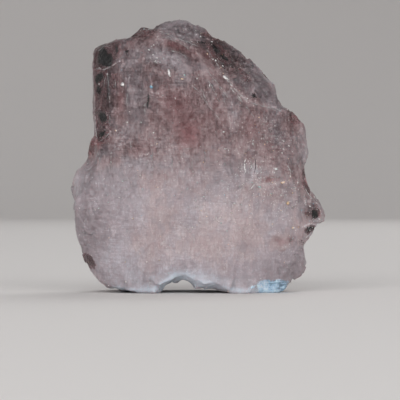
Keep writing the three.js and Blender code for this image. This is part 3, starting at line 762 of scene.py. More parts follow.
BANDS = [
    # crowds of painted sparkles along the crest
    Band(CREST_LINE, 0.7, Look.SPARKLE, 1.0),
    Band(((10.3, 39.2), (17.5, 37.2)), 0.7, Look.SPARKLE, 0.4),
    Band(CROWN_LINE, 0.7, Look.SPARKLE, 0.4),
    # healed cracks that fan out under the crest
    Band(((4.4, 45.8), (6.9, 42.3), (10.5, 39.0), (13.1, 38.2), (17.8, 37.0)), 0.6, Look.CLOUD, 0.24),
    Band(((0.6, 41.4), (2.4, 39.0), (3.9, 36.0)), 0.22, Look.CLOUD, 0.2),
    Band(((-0.7, 42.6), (1.4, 39.4)), 0.2, Look.CLOUD, 0.16),
    Band(((2.8, 43.2), (5.0, 41.4), (6.6, 40.0)), 0.22, Look.CLOUD, 0.2),
    Band(((4.6, 38.4), (6.4, 35.2), (7.2, 33.0)), 0.25, Look.CLOUD, 0.16),
    Band(((1.0, 45.4), (3.4, 42.6), (7.0, 39.6)), 0.3, Look.CLOUD, 0.16),
    Band(((11.6, 26.4), (11.2, 24.0), (10.8, 22.4)), 0.2, Look.CLOUD, 0.3),
    Band(((9.6, 25.4), (9.3, 22.8)), 0.18, Look.CLOUD, 0.24),
    Band(((9.2, 22.4), (13.6, 22.0), (19.0, 22.6)), 0.2, Look.CLOUD, 0.2),
    Band(((-9.6, 29.4), (-10.0, 24.6)), 0.25, Look.CLOUD, 0.14),
    Band(((-12.4, 28.8), (-12.6, 25.0)), 0.2, Look.CLOUD, 0.14),
    Band(((-16.0, 30.4), (-16.4, 25.4)), 0.25, Look.CLOUD, 0.12),
    Band(((-21.4, 30.6), (-21.0, 26.6), (-20.0, 23.6)), 0.25, Look.CLOUD, 0.16),
    # painted pale bluish light along the rim of the notch, and of the foot to its left
    Band(((-17.4, 0.4), (-12.0, 0.1), (-8.2, 0.4)), 0.6, Look.PALE, 0.55, Side.THROUGH),
    Band(
        ((-8.2, 0.6), (-4.6, 3.0), (-2.6, 3.1), (-0.9, 1.6), (2.4, 1.2)), 0.7, Look.PALE, 0.85, Side.THROUGH
    ),
    Band(((2.4, 1.2), (7.0, 0.3), (12.4, 0.0)), 0.6, Look.PALE, 0.5, Side.THROUGH),
    Band(
        ((-17.4, 0.6), (-8.0, 0.8), (-4.6, 3.2), (-2.6, 3.3), (12.4, 0.4)), 1.7, Look.PALE, 0.28, Side.THROUGH
    ),
    # greyer rims, where the edge is bruised
    Band(((9.4, 50.8), (14.0, 45.4), (16.4, 40.8)), 0.7, Look.CLOUD, 0.3, Side.THROUGH),
    Band(((20.9, 34.6), (22.4, 32.0), (22.3, 27.4)), 0.9, Look.CLOUD, 0.3, Side.THROUGH),
    Band(((-24.8, 25.4), (-25.4, 21.4), (-24.6, 18.6)), 0.8, Look.CLOUD, 0.14, Side.THROUGH),
    Band(((-8.6, 52.6), (-6.4, 54.9), (-2.4, 55.8), (2.0, 54.8)), 0.6, Look.CLOUD, 0.2, Side.THROUGH),
    Band(((0.8, 53.0), (6.8, 52.2), (10.4, 49.0)), 0.4, Look.ROSE, 0.8, Side.THROUGH),
]


@dataclass(frozen=True)
class CrystalMap:
    """Where each look and each named form of the crystal is."""

    zones: list[Zone]
    patches: list[Patch]
    arcs: list[Arc]
    crests: list[Crest]
    bands: list[Band]
    cloud_line: CloudLine = CloudLine()

    def looks(self, points: np.ndarray) -> dict[Look, np.ndarray]:
        """Works out each look at every point.

        Args:
            points: places in millimetres, one in each row.

        Returns:
            Millimetres inside the nearest zone for looks with an edge, and a share for the others.
        """
        points = as_seen(points)
        values = {look: np.full(len(points), look.absent) for look in Look}
        values[Look.CLOUD] += self.cloud_line.share(points)
        for zone in self.zones:
            values[zone.look] = np.maximum(values[zone.look], zone.inside(points))
        for crest in self.crests:
            values[Look.EDGE] = np.maximum(values[Look.EDGE], crest.inside(points))
        for part in (*self.patches, *self.arcs, *self.bands):
            values[part.look] += part.share(points)
        return values

    def relief(self, points: np.ndarray, normals: np.ndarray) -> np.ndarray:
        """Adds up the named forms of the front face.

        Args:
            points: places in millimetres, one in each row.
            normals: the outward direction at each point.

        Returns:
            Millimetres to move each point outwards.
        """
        points = as_seen(points)
        height = sum(crest.relief(points) for crest in self.crests)
        height += sum(arc.height * arc.nearness(points) for arc in self.arcs)
        return height * smooth_share(-normals[:, 1], 0.1, 0.5)


# --- finishes -------------------------------------------------------------------------------------------


@dataclass(frozen=True)
class Pattern:
    """Patterns laid out in the stone's own millimetres, as nodes of one shader tree.

    An end of a map that isn't given keeps its usual value, 0 for the lower one and 1 for the upper.
    """

    tree: bpy.types.NodeTree
    place: bpy.types.Node

    def mottle(self, size: Triple, detail: float, rough: float, warp: float = 0.0) -> bpy.types.Node:
        """Lays soft blotches, as a number about zero.

        Args:
            size: millimetres from one to the next along each axis.
            detail: how many times finer blotches are added.
            rough: how strong the finer ones are.
            warp: how much they swirl.

        Returns:
            The node that gives the number.
        """
        scaled = add_node(self.tree, "ShaderNodeVectorMath", OVER, {0: self.place, 1: size})
        settings = {"Vector": scaled, "Scale": 1.0, "Detail": detail, "Roughness": rough, "Distortion": warp}
        made = add_node(self.tree, "ShaderNodeTexNoise", {}, settings)
        return add_node(self.tree, "ShaderNodeMath", MINUS, {0: made, 1: 0.5})

    def hairlines(self, size: Triple, thickness: float) -> bpy.types.Node:
        """Lays thin lines where soft blotches meet.

        Args:
            size: millimetres from one to the next along each axis.
            thickness: how far into a blotch half a line reaches.

        Returns:
            The node that gives 1 in the middle of a line and 0 off it.
        """
        blotches = self.mottle(size, 3, 0.55, 0.6)
        gap = add_node(self.tree, "ShaderNodeMath", SIZELESS, {0: blotches})
        return add_node(self.tree, "ShaderNodeMapRange", SMOOTH, {0: gap, 1: thickness, 2: 0.0})

    def total(self, start: Any, *terms: tuple[Any, float]) -> Any:
        """Adds other values to a start.

        Args:
            start: the first value, as a number, a socket or a node.
            terms: the others, each with its weight.

        Returns:
            The node that gives the sum, or the start where there are no terms.
        """
        for value, weight in terms:
            start = add_node(self.tree, "ShaderNodeMath", WEIGHED, {0: value, 1: weight, 2: start})
        return start

    def shown(
        self, value: Any, low: float, high: float, *terms: tuple[Any, float], most: float = 1.0
    ) -> bpy.types.Node:
        """Works out how much a look shows, once other patterns make its edge uneven.

        Args:
            value: the look, before they do.
            low: where it doesn't show.
            high: where it shows most.
            terms: the other patterns, each with its weight.
            most: how much it shows there.

        Returns:
            The node that gives the share.
        """
        uneven = self.total(value, *terms)
        return add_node(self.tree, "ShaderNodeMapRange", SMOOTH, {0: uneven, 1: low, 2: high, 4: most})

    def facets(self, size: Triple) -> tuple[bpy.types.NodeSocket, bpy.types.Node]:
        """Breaks the surface into small flat faces, each tilted its own way.

        Args:
            size: millimetres across a face along each axis.

        Returns:
            The height in millimetres, and a tone about zero for each face.
        """
        scaled = add_node(self.tree, "ShaderNodeVectorMath", OVER, {0: self.place, 1: size})
        cells = add_node(self.tree, "ShaderNodeTexVoronoi", {}, {"Vector": scaled, "Scale": 1.0})
        across = add_node(self.tree, "ShaderNodeVectorMath", MINUS, {0: scaled, 1: cells.outputs["Position"]})
        across = add_node(self.tree, "ShaderNodeVectorMath", TIMES, {0: across, 1: size})
        tilt = add_node(self.tree, "ShaderNodeVectorMath", MINUS, {0: cells.outputs["Color"], 1: HALVES})
        height = add_node(self.tree, "ShaderNodeVectorMath", ALONG, {0: tilt, 1: across})
        parts = add_node(self.tree, "ShaderNodeSeparateColor", {}, {0: cells.outputs["Color"]})
        tone = add_node(self.tree, "ShaderNodeMath", MINUS, {0: parts.outputs[1], 1: 0.5})
        return height.outputs["Value"], tone

    def specks(self, size: Triple, reach: float, crowd: Any) -> tuple[bpy.types.Node, bpy.types.NodeSocket]:
        """Scatters small marks.

        Args:
            size: millimetres from one place for a mark to the next, along each axis.
            reach: radius of a mark, as a share of that.
            crowd: share of the places that hold a mark.

        Returns:
            How strong the mark is, and a number at random for each.
        """
        scaled = add_node(self.tree, "ShaderNodeVectorMath", OVER, {0: self.place, 1: size})
        cells = add_node(self.tree, "ShaderNodeTexVoronoi", {}, {"Vector": scaled, "Scale": 1.0})
        parts = add_node(self.tree, "ShaderNodeSeparateColor", {}, {0: cells.outputs["Color"]})
        core = reach * 0.4
        near = add_node(self.tree, "ShaderNodeMapRange", SMOOTH, {0: cells, 1: reach, 2: core})
        spare = add_node(self.tree, "ShaderNodeMath", MINUS, {0: crowd, 1: parts.outputs[0]})
        chosen = add_node(self.tree, "ShaderNodeMapRange", SMOOTH, {0: spare, 2: 0.15})
        bright = add_node(self.tree, "ShaderNodeMapRange", {}, {0: parts.outputs[1], 3: 0.3})
        mark = add_node(self.tree, "ShaderNodeMath", TIMES, {0: near, 1: chosen})
        return add_node(self.tree, "ShaderNodeMath", TIMES, {0: mark, 1: bright}), parts.outputs[2]

    def scale_of_colours(self, value: Any, stops: Stops) -> bpy.types.Node:
        """Turns a value into a colour.

        Args:
            value: what is coloured.
            stops: values with their colours, from lowest to highest.

        Returns:
            The node that gives the colour.
        """
        low, high = stops[0][0], stops[-1][0]
        share = add_node(self.tree, "ShaderNodeMapRange", {}, {0: value, 1: low, 2: high})
        node = add_node(self.tree, "ShaderNodeValToRGB", {}, {0: share})
        elements = node.color_ramp.elements
        while len(elements) < len(stops):
            elements.new(0.5)
        for element, (at, colour) in zip(elements, stops):
            element.position = (at - low) / (high - low)
            element.color = linear(colour)
        return node


@dataclass(frozen=True)
class Fabric:
    """What the crystal is made of from place to place: its looks, and patterns about zero."""

    even: Pattern  # lays out more of them
    look: dict[Look, bpy.types.NodeSocket]
    middle_face: Any
    small_face: Any
    tones: dict[str, Any]
    upright: Any
    drift: Any
    patch: Any
    grain: Any
    warp: Any
    weft: Any
    threads: Any
    layers: Any
    veils: Any


@dataclass(frozen=True)
class Showing:
    """How much of each thing shows at a place, with the cloudiness and what the glints' colour comes from."""

    unrest: Any  # how strongly the patterns vary the cloudiness, least where it is milky
    cloud: Any
    clear: Any
    dark: Any
    frosty: Any
    rim: Any
    marks: Any
    warmth: Any


@dataclass(frozen=True)
class MorganiteFinish:
    """Rough morganite, a pink beryl, as broken and etched in the ground.

    Fine healed cracks make most of it cloudy, with a soft frosted lustre and a warm grey-pink body. Where it
    is sound it is as clear as glass, and the eye looks into it. Small cleavage faces are coloured white as
    painted glints.
    """

    pink: Stops = (
        (-0.35, "#3a2929"),
        (0.0, "#5c4446"),
        (0.35, "#8a6b6d"),
        (0.7, "#a58c8e"),
        (1.0, "#b5a4a6"),
        (1.35, "#d8cdcf"),
    )
    lilac: Stops = (
        (-0.35, "#2e292b"),
        (0.0, "#574a4e"),
        (0.35, "#847479"),
        (0.7, "#9d9196"),
        (1.0, "#afa4aa"),
        (1.35, "#d1ccd3"),
    )
    # colours of the painted glints, from blue through white to orange
    fire: Stops = (
        (-1.2, "#92bfdb"),
        (-0.8, "#b4e0d8"),
        (-0.5, "#ffffff"),
        (0.5, "#fffaf8"),
        (0.8, "#ffe6d6"),
        (1.2, "#ffd6a8"),
    )
    # painted light: pale blue to white glow of the foot
    frost: Stops = ((0.0, "#6b8294"), (0.45, "#b3cfe6"), (1.0, "#eef8ff"))
    rose: str = "#9c5f63"
    glass: str = "#b0868a"
    # painted shade: the near-black colour of the darkest windows and open cracks
    shade: str = "#0f0c0e"
    # painted light: the pale bluish glow along the notch and the foot
    rim: str = "#ccd3de"
    ior: float = 1.58
    shine: float = 0.28
    cloudy_roughness: float = 0.34
    glassy_roughness: float = 0.06
    absorption_tint: str = "#b58f97"
    absorption_density: float = 90.0
    subsurface_share: float = 0.5
    subsurface_reach: float = 0.002
    subsurface_tint: Triple = (1.0, 0.6, 0.6)

    # sizes of the patterns, in millimetres
    broad_break: Triple = (2.5, 2.5, 4.1667)
    middle_break: Triple = (1.1111, 1.1111, 2.0)
    small_break: Triple = (0.5, 0.5, 0.6667)
    finest_break: Triple = (0.25, 0.25, 0.3333)  # the real ones, under 0.1, are too fine to show
    growth_tubes: Triple = (0.9091, 0.9091, 7.1429)
    colour_drift: Triple = (6.25, 6.25, 6.25)
    clouds: Triple = (2.0, 2.0, 2.5)
    etched_grain: Triple = (0.4167, 0.4167, 0.4167)
    upright_weave: Triple = (0.2941, 0.2941, 2.5)  # real healed cracks lie closer, too fine to show
    level_weave: Triple = (2.5, 2.5, 0.2941)
    upright_threads: Triple = (0.5556, 0.5556, 5.0)
    level_threads: Triple = (5.0, 5.0, 0.625)
    crack_veils: Triple = (1.6667, 1.6667, 2.2222)
    # painted sparkles: the spacing of the white specks that stand in for glints
    painted_sparkle_spacing: Triple = (0.3846, 0.3846, 0.3846)
    wander: float = 1.1111  # what the breaks and cracks wander over

    def material(self) -> bpy.types.Material:
        """Builds the node material of the stone.

        Returns:
            The material.
        """
        material = bpy.data.materials.new("morganite, rough and cloudy")
        material.use_nodes = True
        tree = material.node_tree
        tree.nodes.clear()
        fabric = self.fabric(tree)
        showing = self.showing(tree, fabric)
        milkiness = {0: showing.marks, 3: self.subsurface_share, 4: 0.0}
        roughness, bump = self.lustre(tree, fabric, showing)
        inputs = {
            "Base Color": self.colour(tree, fabric, showing),
            "Roughness": roughness,
            "IOR": self.ior,
            "Specular IOR Level": self.shine,
            "Transmission Weight": self.clarity(tree, showing),
            "Subsurface Weight": add_node(tree, "ShaderNodeMapRange", {}, milkiness),
            "Subsurface Scale": self.subsurface_reach,
            "Subsurface Radius": self.subsurface_tint,
            "Normal": bump,
        }
        shader = add_node(tree, "ShaderNodeBsdfPrincipled", {"subsurface_method": "RANDOM_WALK"}, inputs)
        tint = {"Color": linear(self.absorption_tint), "Density": self.absorption_density}
        volume = add_node(tree, "ShaderNodeVolumeAbsorption", {}, tint)
        add_node(tree, "ShaderNodeOutputMaterial", {}, {"Surface": shader, "Volume": volume})
        return material

    def fabric(self, tree: bpy.types.NodeTree) -> Fabric:
        """Lays out the looks and the patterns. The breaks, threads and veils wander a little.

        Args:
            tree: the tree of the material.

        Returns:
            What the crystal is made of from place to place.
        """
        metres = add_node(tree, "ShaderNodeTexCoord").outputs["Object"]
        place = add_node(tree, "ShaderNodeVectorMath", SCALED, {0: metres, 3: 1 / MM})
        settings = {"Vector": place, "Scale": 1 / self.wander, "Detail": 3.0, "Roughness": 0.6}
        wander = add_node(tree, "ShaderNodeTexNoise", {}, settings).outputs["Color"]
        wander = add_node(tree, "ShaderNodeVectorMath", MINUS, {0: wander, 1: HALVES})
        wander = add_node(tree, "ShaderNodeVectorMath", TIMES, {0: wander, 1: HALVES})
        even = Pattern(tree, place)
        broken = Pattern(tree, add_node(tree, "ShaderNodeVectorMath", PLUS, {0: place, 1: wander}))
        sizes = (self.broad_break, self.middle_break, self.small_break, self.finest_break)
        (_, broad), (middle_face, middle), (small_face, small), (_, finest) = map(broken.facets, sizes)
        drift = even.mottle(self.colour_drift, 3, 0.5, 0.3)
        patch = even.mottle(self.clouds, 5, 0.7, 0.2)
        threads = {0: broken.hairlines(self.upright_threads, 0.06), 1: even.shown(patch, -0.1, 0.16)}
        layers = {0: broken.hairlines(self.level_threads, 0.05), 1: even.shown(drift, 0.08, -0.12)}
        return Fabric(
            even=even,
            look={
                look: add_node(tree, "ShaderNodeAttribute", {"attribute_name": look.value}).outputs["Fac"]
                for look in Look
            },
            middle_face=middle_face,
            small_face=small_face,
            tones={"broad": broad, "middle": middle, "small": small, "finest": finest},
            upright=even.mottle(self.growth_tubes, 3, 0.6),
            drift=drift,
            patch=patch,
            grain=even.mottle(self.etched_grain, 4, 0.75),
            warp=even.mottle(self.upright_weave, 2, 0.6),
            weft=even.mottle(self.level_weave, 2, 0.6),
            threads=add_node(tree, "ShaderNodeMath", TIMES, threads),
            layers=add_node(tree, "ShaderNodeMath", TIMES, layers),
            veils=broken.hairlines(self.crack_veils, 0.035),
        )

    def showing(self, tree: bpy.types.NodeTree, made: Fabric) -> Showing:
        """Works out what shows at each place.

        Args:
            tree: the tree of the material.
            made: what the crystal is made of.

        Returns:
            The cloudiness, and how much of everything else shows.
        """
        even, look, patch, grain, tones = made.even, made.look, made.patch, made.grain, made.tones
        detail = even.total(
            0.0,
            (patch, 0.3),
            (made.upright, 0.25),
            (grain, 0.22),
            (made.warp, 0.42),
            (made.weft, 0.38),
            (made.threads, 0.26),
            (made.layers, 0.22),
            (made.veils, 0.12),
            (tones["broad"], 0.08),
            (tones["middle"], 0.08),
            (tones["small"], 0.13),
            (tones["finest"], 0.16),
        )
        unrest = add_node(tree, "ShaderNodeMapRange", {}, {0: look[Look.CLOUD], 3: 1.85, 4: 0.5})
        # painted highlight: the lit edges of the crests lighten the cloudiness
        edge = even.shown(look[Look.EDGE], -0.05, 0.15, (patch, 1.0), (grain, 0.9))
        cloud = even.total(look[Look.CLOUD], (detail, unrest), (edge, 0.5))
        clear = even.shown(look[Look.CLEAR], -0.1, 0.3, (patch, 1.2), (grain, 0.8))
        healed = ((edge, 0.8), (made.threads, 0.5), (made.veils, 0.5), (tones["middle"], 0.5), (grain, 0.8))
        veiled = {0: even.total(0.0, *healed), 3: 1.0, 4: 0.2}
        veiled = add_node(tree, "ShaderNodeMapRange", {}, veiled)
        depth = ((patch, 1.1), (grain, 0.8), (tones["middle"], 0.35), (tones["small"], 0.3))

        # painted sparkles: white specks that stand in for glints
        crowd = even.total(0.05, (look[Look.SPARKLE], 0.6), (patch, 0.4), (made.drift, 0.4))
        painted_sparkles, sparkle_hue = even.specks(self.painted_sparkle_spacing, 0.34, crowd)
        painted_sparkles = add_node(tree, "ShaderNodeMath", TIMES, {0: painted_sparkles, 1: 0.6})
        warmth = add_node(tree, "ShaderNodeMapRange", {}, {0: sparkle_hue, 3: -0.5, 4: 0.5})
        return Showing(
            unrest=unrest,
            cloud=cloud,
            clear=add_node(tree, "ShaderNodeMath", TIMES, {0: clear, 1: veiled}),
            dark=even.shown(look[Look.DARK], -0.1, 0.36, *depth),
            frosty=even.shown(look[Look.FROST], -0.05, 0.3, (patch, 1.3), (grain, 0.7)),
            rim=even.shown(look[Look.PALE], 0.1, 0.9, (patch, 0.8), (grain, 0.5), most=0.85),
            # the painted glints: the specks, and the named flecks and hairlines
            marks=add_node(tree, "ShaderNodeMath", HIGHER, {0: painted_sparkles, 1: look[Look.GLINT]}),
            warmth=add_node(tree, "ShaderNodeMath", PLUS, {0: warmth, 1: look[Look.FIRE]}),
        )

    def colour(self, tree: bpy.types.NodeTree, made: Fabric, seen: Showing) -> bpy.types.NodeSocket:
        """Mixes the body colour, each tint over the one before.

        Args:
            tree: the tree of the material.
            made: what the crystal is made of.
            seen: what shows of it.

        Returns:
            The colour.
        """
        even, rosiness, patch = made.even, made.look[Look.ROSE], made.patch
        hue = ((made.drift, 1.4), (patch, 1.2), (made.tones["middle"], 0.3))
        sparkle, grain = made.look[Look.SPARKLE], made.grain
        foot_glow_ripple = ((sparkle, 0.6), (patch, 2.2), (made.upright, 0.5), (made.weft, 1.6), (grain, 1.0))
        tints = (
            (even.shown(rosiness, -0.35, 0.35, *hue), even.scale_of_colours(seen.cloud, self.pink)),
            (even.shown(rosiness, 0.2, 1.2, (patch, 0.8), most=0.65), linear(self.rose)),
            (add_node(tree, "ShaderNodeMath", TIMES, {0: seen.clear, 1: 0.7}), linear(self.glass)),
            # painted shade in the darkest windows and open cracks
            (seen.dark, linear(self.shade)),
            # painted pale bluish light along the rims of the foot
            (seen.rim, linear(self.rim)),
            # painted pale blue light through the foot
            (seen.frosty, even.scale_of_colours(even.total(0.6, *foot_glow_ripple), self.frost)),
            # painted glints, near white or tinted by their warmth
            (seen.marks, even.scale_of_colours(seen.warmth, self.fire)),
        )
        colour = even.scale_of_colours(seen.cloud, self.lilac).outputs[0]
        for share, tint in tints:
            colour = add_node(tree, "ShaderNodeMix", COLOURS, {0: share, 6: colour, 7: tint}).outputs[2]
        return colour

    def clarity(self, tree: bpy.types.NodeTree, seen: Showing) -> bpy.types.Node:
        """Works out how far the eye sees in.

        Args:
            tree: the tree of the material.
            seen: what shows of the crystal.

        Returns:
            The node that gives it, from 0, a closed surface, to 1, clear glass.
        """
        faint = {0: seen.cloud, 1: 0.1, 2: 1.1, 3: 0.6, 4: 0.06}
        clarity = add_node(tree, "ShaderNodeMapRange", SMOOTH, faint)
        for share, most in ((seen.clear, 0.85), (seen.dark, 0.35)):
            open_share = add_node(tree, "ShaderNodeMath", TIMES, {0: share, 1: most})
            clarity = add_node(tree, "ShaderNodeMath", HIGHER, {0: open_share, 1: clarity})
        cover = add_node(tree, "ShaderNodeMath", HIGHER, {0: seen.frosty, 1: seen.marks})
        cover = add_node(tree, "ShaderNodeMath", HIGHER, {0: cover, 1: seen.rim})
        bare = add_node(tree, "ShaderNodeMath", MINUS, {0: 1.0, 1: cover})
        return add_node(tree, "ShaderNodeMath", TIMES, {0: clarity, 1: bare})

    def lustre(
        self, tree: bpy.types.NodeTree, made: Fabric, seen: Showing
    ) -> tuple[bpy.types.Node, bpy.types.Node]:
        """Works out the lustre and the finest relief.

        Args:
            tree: the tree of the material.
            made: what the crystal is made of.
            seen: what shows of it.

        Returns:
            The nodes that give the roughness and the bumped normal.
        """
        sound = add_node(tree, "ShaderNodeMath", HIGHER, {0: seen.clear, 1: seen.dark})
        ends = {3: self.cloudy_roughness, 4: self.glassy_roughness}
        roughness = add_node(tree, "ShaderNodeMapRange", {}, {0: sound, **ends})
        faces = ((made.middle_face, 0.4), (made.small_face, 0.35))
        lift = made.even.total(0.0, (made.grain, 0.12), *faces, (made.warp, 0.05), (made.weft, 0.05))
        lift = add_node(tree, "ShaderNodeMath", TIMES, {0: lift, 1: seen.unrest})
        bump = add_node(tree, "ShaderNodeBump", {}, {"Strength": 1.0, "Distance": MM, "Height": lift})
        return roughness, bump


@dataclass(frozen=True)
class PaperFinish:
    """Matt studio paper, which gives an even pale ground with no gloss."""

    colour: str = "#e4e1df"
    roughness: float = 0.9

    def material(self) -> bpy.types.Material:
        """Builds the material of the studio sweep.

        Returns:
            The material.
        """
        material = bpy.data.materials.new("studio paper, matt")
        material.use_nodes = True
        shader = material.node_tree.nodes["Principled BSDF"]
        shader.inputs["Base Color"].default_value = linear(self.colour)
        shader.inputs["Roughness"].default_value = self.roughness
        return material


# --- the stone ------------------------------------------------------------------------------------------


@dataclass
class GrowthTree:
    """Geometry Nodes that work on the stone's mesh. Each field is a named input of the tree."""

    def sizes(self) -> dict[str, float]:
        """Gives each named input its number, such as Chip Depth for chip_depth."""
        return {f.name.replace("_", " ").title(): float(getattr(self, f.name)) for f in fields(self)}

    def started(self, name: str) -> tuple[bpy.types.NodeTree, Any]:
        """Starts the tree, which takes and gives geometry.

        Args:
            name: what the tree is called.

        Returns:
            The tree, and its inputs as they are read inside it.
        """
        tree = bpy.data.node_groups.new(name, "GeometryNodeTree")
        tree.interface.new_socket("Geometry", in_out="INPUT", socket_type="NodeSocketGeometry")
        for size in self.sizes():
            tree.interface.new_socket(size, in_out="INPUT", socket_type="NodeSocketFloat")
        tree.interface.new_socket("Geometry", in_out="OUTPUT", socket_type="NodeSocketGeometry")
        return tree, add_node(tree, "NodeGroupInput").outputs


@dataclass
class ReliefTree(GrowthTree):
    """Raises the small forms which repeat over the stone's faces, with their depths in millimetres."""

    flute_depth: float = 0.3
    parting_depth: float = 0.2
    grain_depth: float = 0.25
    chip_depth: float = 0.7
    broad_face_share: float = 0.35
    seed: int = 3

    def tree(self, material: bpy.types.Material) -> bpy.types.NodeTree:
        """Builds the tree.

        Args:
            material: what the tree dresses the stone in.

        Returns:
            The tree, whose sizes are still to be set on the modifier.
        """
        tree, inputs = self.started("crystal relief")
        metres = add_node(tree, "GeometryNodeInputPosition")
        place = add_node(tree, "ShaderNodeVectorMath", SCALED, {0: metres, 3: 1 / MM})

        # flutes along the crystal, level partings and grains, as millimetres from one to the next
        spacings = {
            "Flute Depth": ((4 / 3, 4 / 3, 100 / 7), 3, 0.5),
            "Parting Depth": ((50 / 3, 50 / 3, 5 / 4), 2, 0.5),
            "Grain Depth": ((10 / 9, 10 / 9, 5 / 3), 3, 0.6),
        }
        parts = {}
        for name, (size, detail, rough) in spacings.items():
            scaled = add_node(tree, "ShaderNodeVectorMath", OVER, {0: place, 1: size})
            seeded = {"Vector": scaled, "W": inputs["Seed"], "Scale": 1.0}
            seeded |= {"Detail": detail, "Roughness": rough}
            made = add_node(tree, "ShaderNodeTexNoise", {"noise_dimensions": "4D"}, seeded)
            parts[name] = add_node(tree, "ShaderNodeMath", MINUS, {0: made, 1: 0.5})

        # chipped faces, each tilted its own way
        chip = (20 / 9, 20 / 9, 25 / 7)
        scaled = add_node(tree, "ShaderNodeVectorMath", OVER, {0: place, 1: chip})
        cells = add_node(tree, "ShaderNodeTexVoronoi", {}, {"Vector": scaled, "Scale": 1.0})
        across = add_node(tree, "ShaderNodeVectorMath", MINUS, {0: scaled, 1: cells.outputs["Position"]})
        tilt = add_node(tree, "ShaderNodeVectorMath", MINUS, {0: cells.outputs["Color"], 1: HALVES})
        chips = add_node(tree, "ShaderNodeVectorMath", ALONG, {0: tilt, 1: across})
        parts["Chip Depth"] = chips.outputs["Value"]
        height: Any = 0.0
        for name, part in parts.items():
            height = add_node(tree, "ShaderNodeMath", WEIGHED, {0: part, 1: inputs[name], 2: height})

        # calmer where the crystal is glassy and on its broad front and back, and none under the feet
        normal = add_node(tree, "GeometryNodeInputNormal")
        clear = add_node(tree, "GeometryNodeInputNamedAttribute", {}, {"Name": Look.CLEAR.value})
        facing = add_node(tree, "ShaderNodeSeparateXYZ", {}, {0: normal}).outputs[1]
        facing = add_node(tree, "ShaderNodeMath", SIZELESS, {0: facing})
        above = add_node(tree, "ShaderNodeSeparateXYZ", {}, {0: place}).outputs[2]
        forms = add_node(tree, "GeometryNodeInputNamedAttribute", {}, {"Name": FORM_HEIGHT})
        glassy = {0: clear, 1: -0.8, 2: 0.6, 3: 1.0, 4: 0.5}
        broad = {0: facing, 1: 0.6, 2: 0.95, 3: 1.0, 4: inputs["Broad Face Share"]}
        for share in (glassy, broad):
            calm = add_node(tree, "ShaderNodeMapRange", SMOOTH, share)
            height = add_node(tree, "ShaderNodeMath", TIMES, {0: height, 1: calm})
        height = add_node(tree, "ShaderNodeMath", PLUS, {0: height, 1: forms})
        standing = add_node(tree, "ShaderNodeMapRange", SMOOTH, {0: above, 1: 0.1, 2: 1.0})
        for share in (standing, MM):
            height = add_node(tree, "ShaderNodeMath", TIMES, {0: height, 1: share})
        reach = add_node(tree, "ShaderNodeVectorMath", SCALED, {0: normal, 3: height})
        offset = {"Geometry": inputs["Geometry"], "Offset": reach}
        moved = add_node(tree, "GeometryNodeSetPosition", {}, offset)
        real = add_node(tree, "GeometryNodeRealizeInstances", {}, {"Geometry": moved})
        dressed = add_node(tree, "GeometryNodeSetMaterial", {}, {"Geometry": real, "Material": material})
        add_node(tree, "NodeGroupOutput", {}, {0: dressed})
        return tree


CROWD_SIZE = 20 / 7  # millimetres from one thick patch of scattered flecks to the next


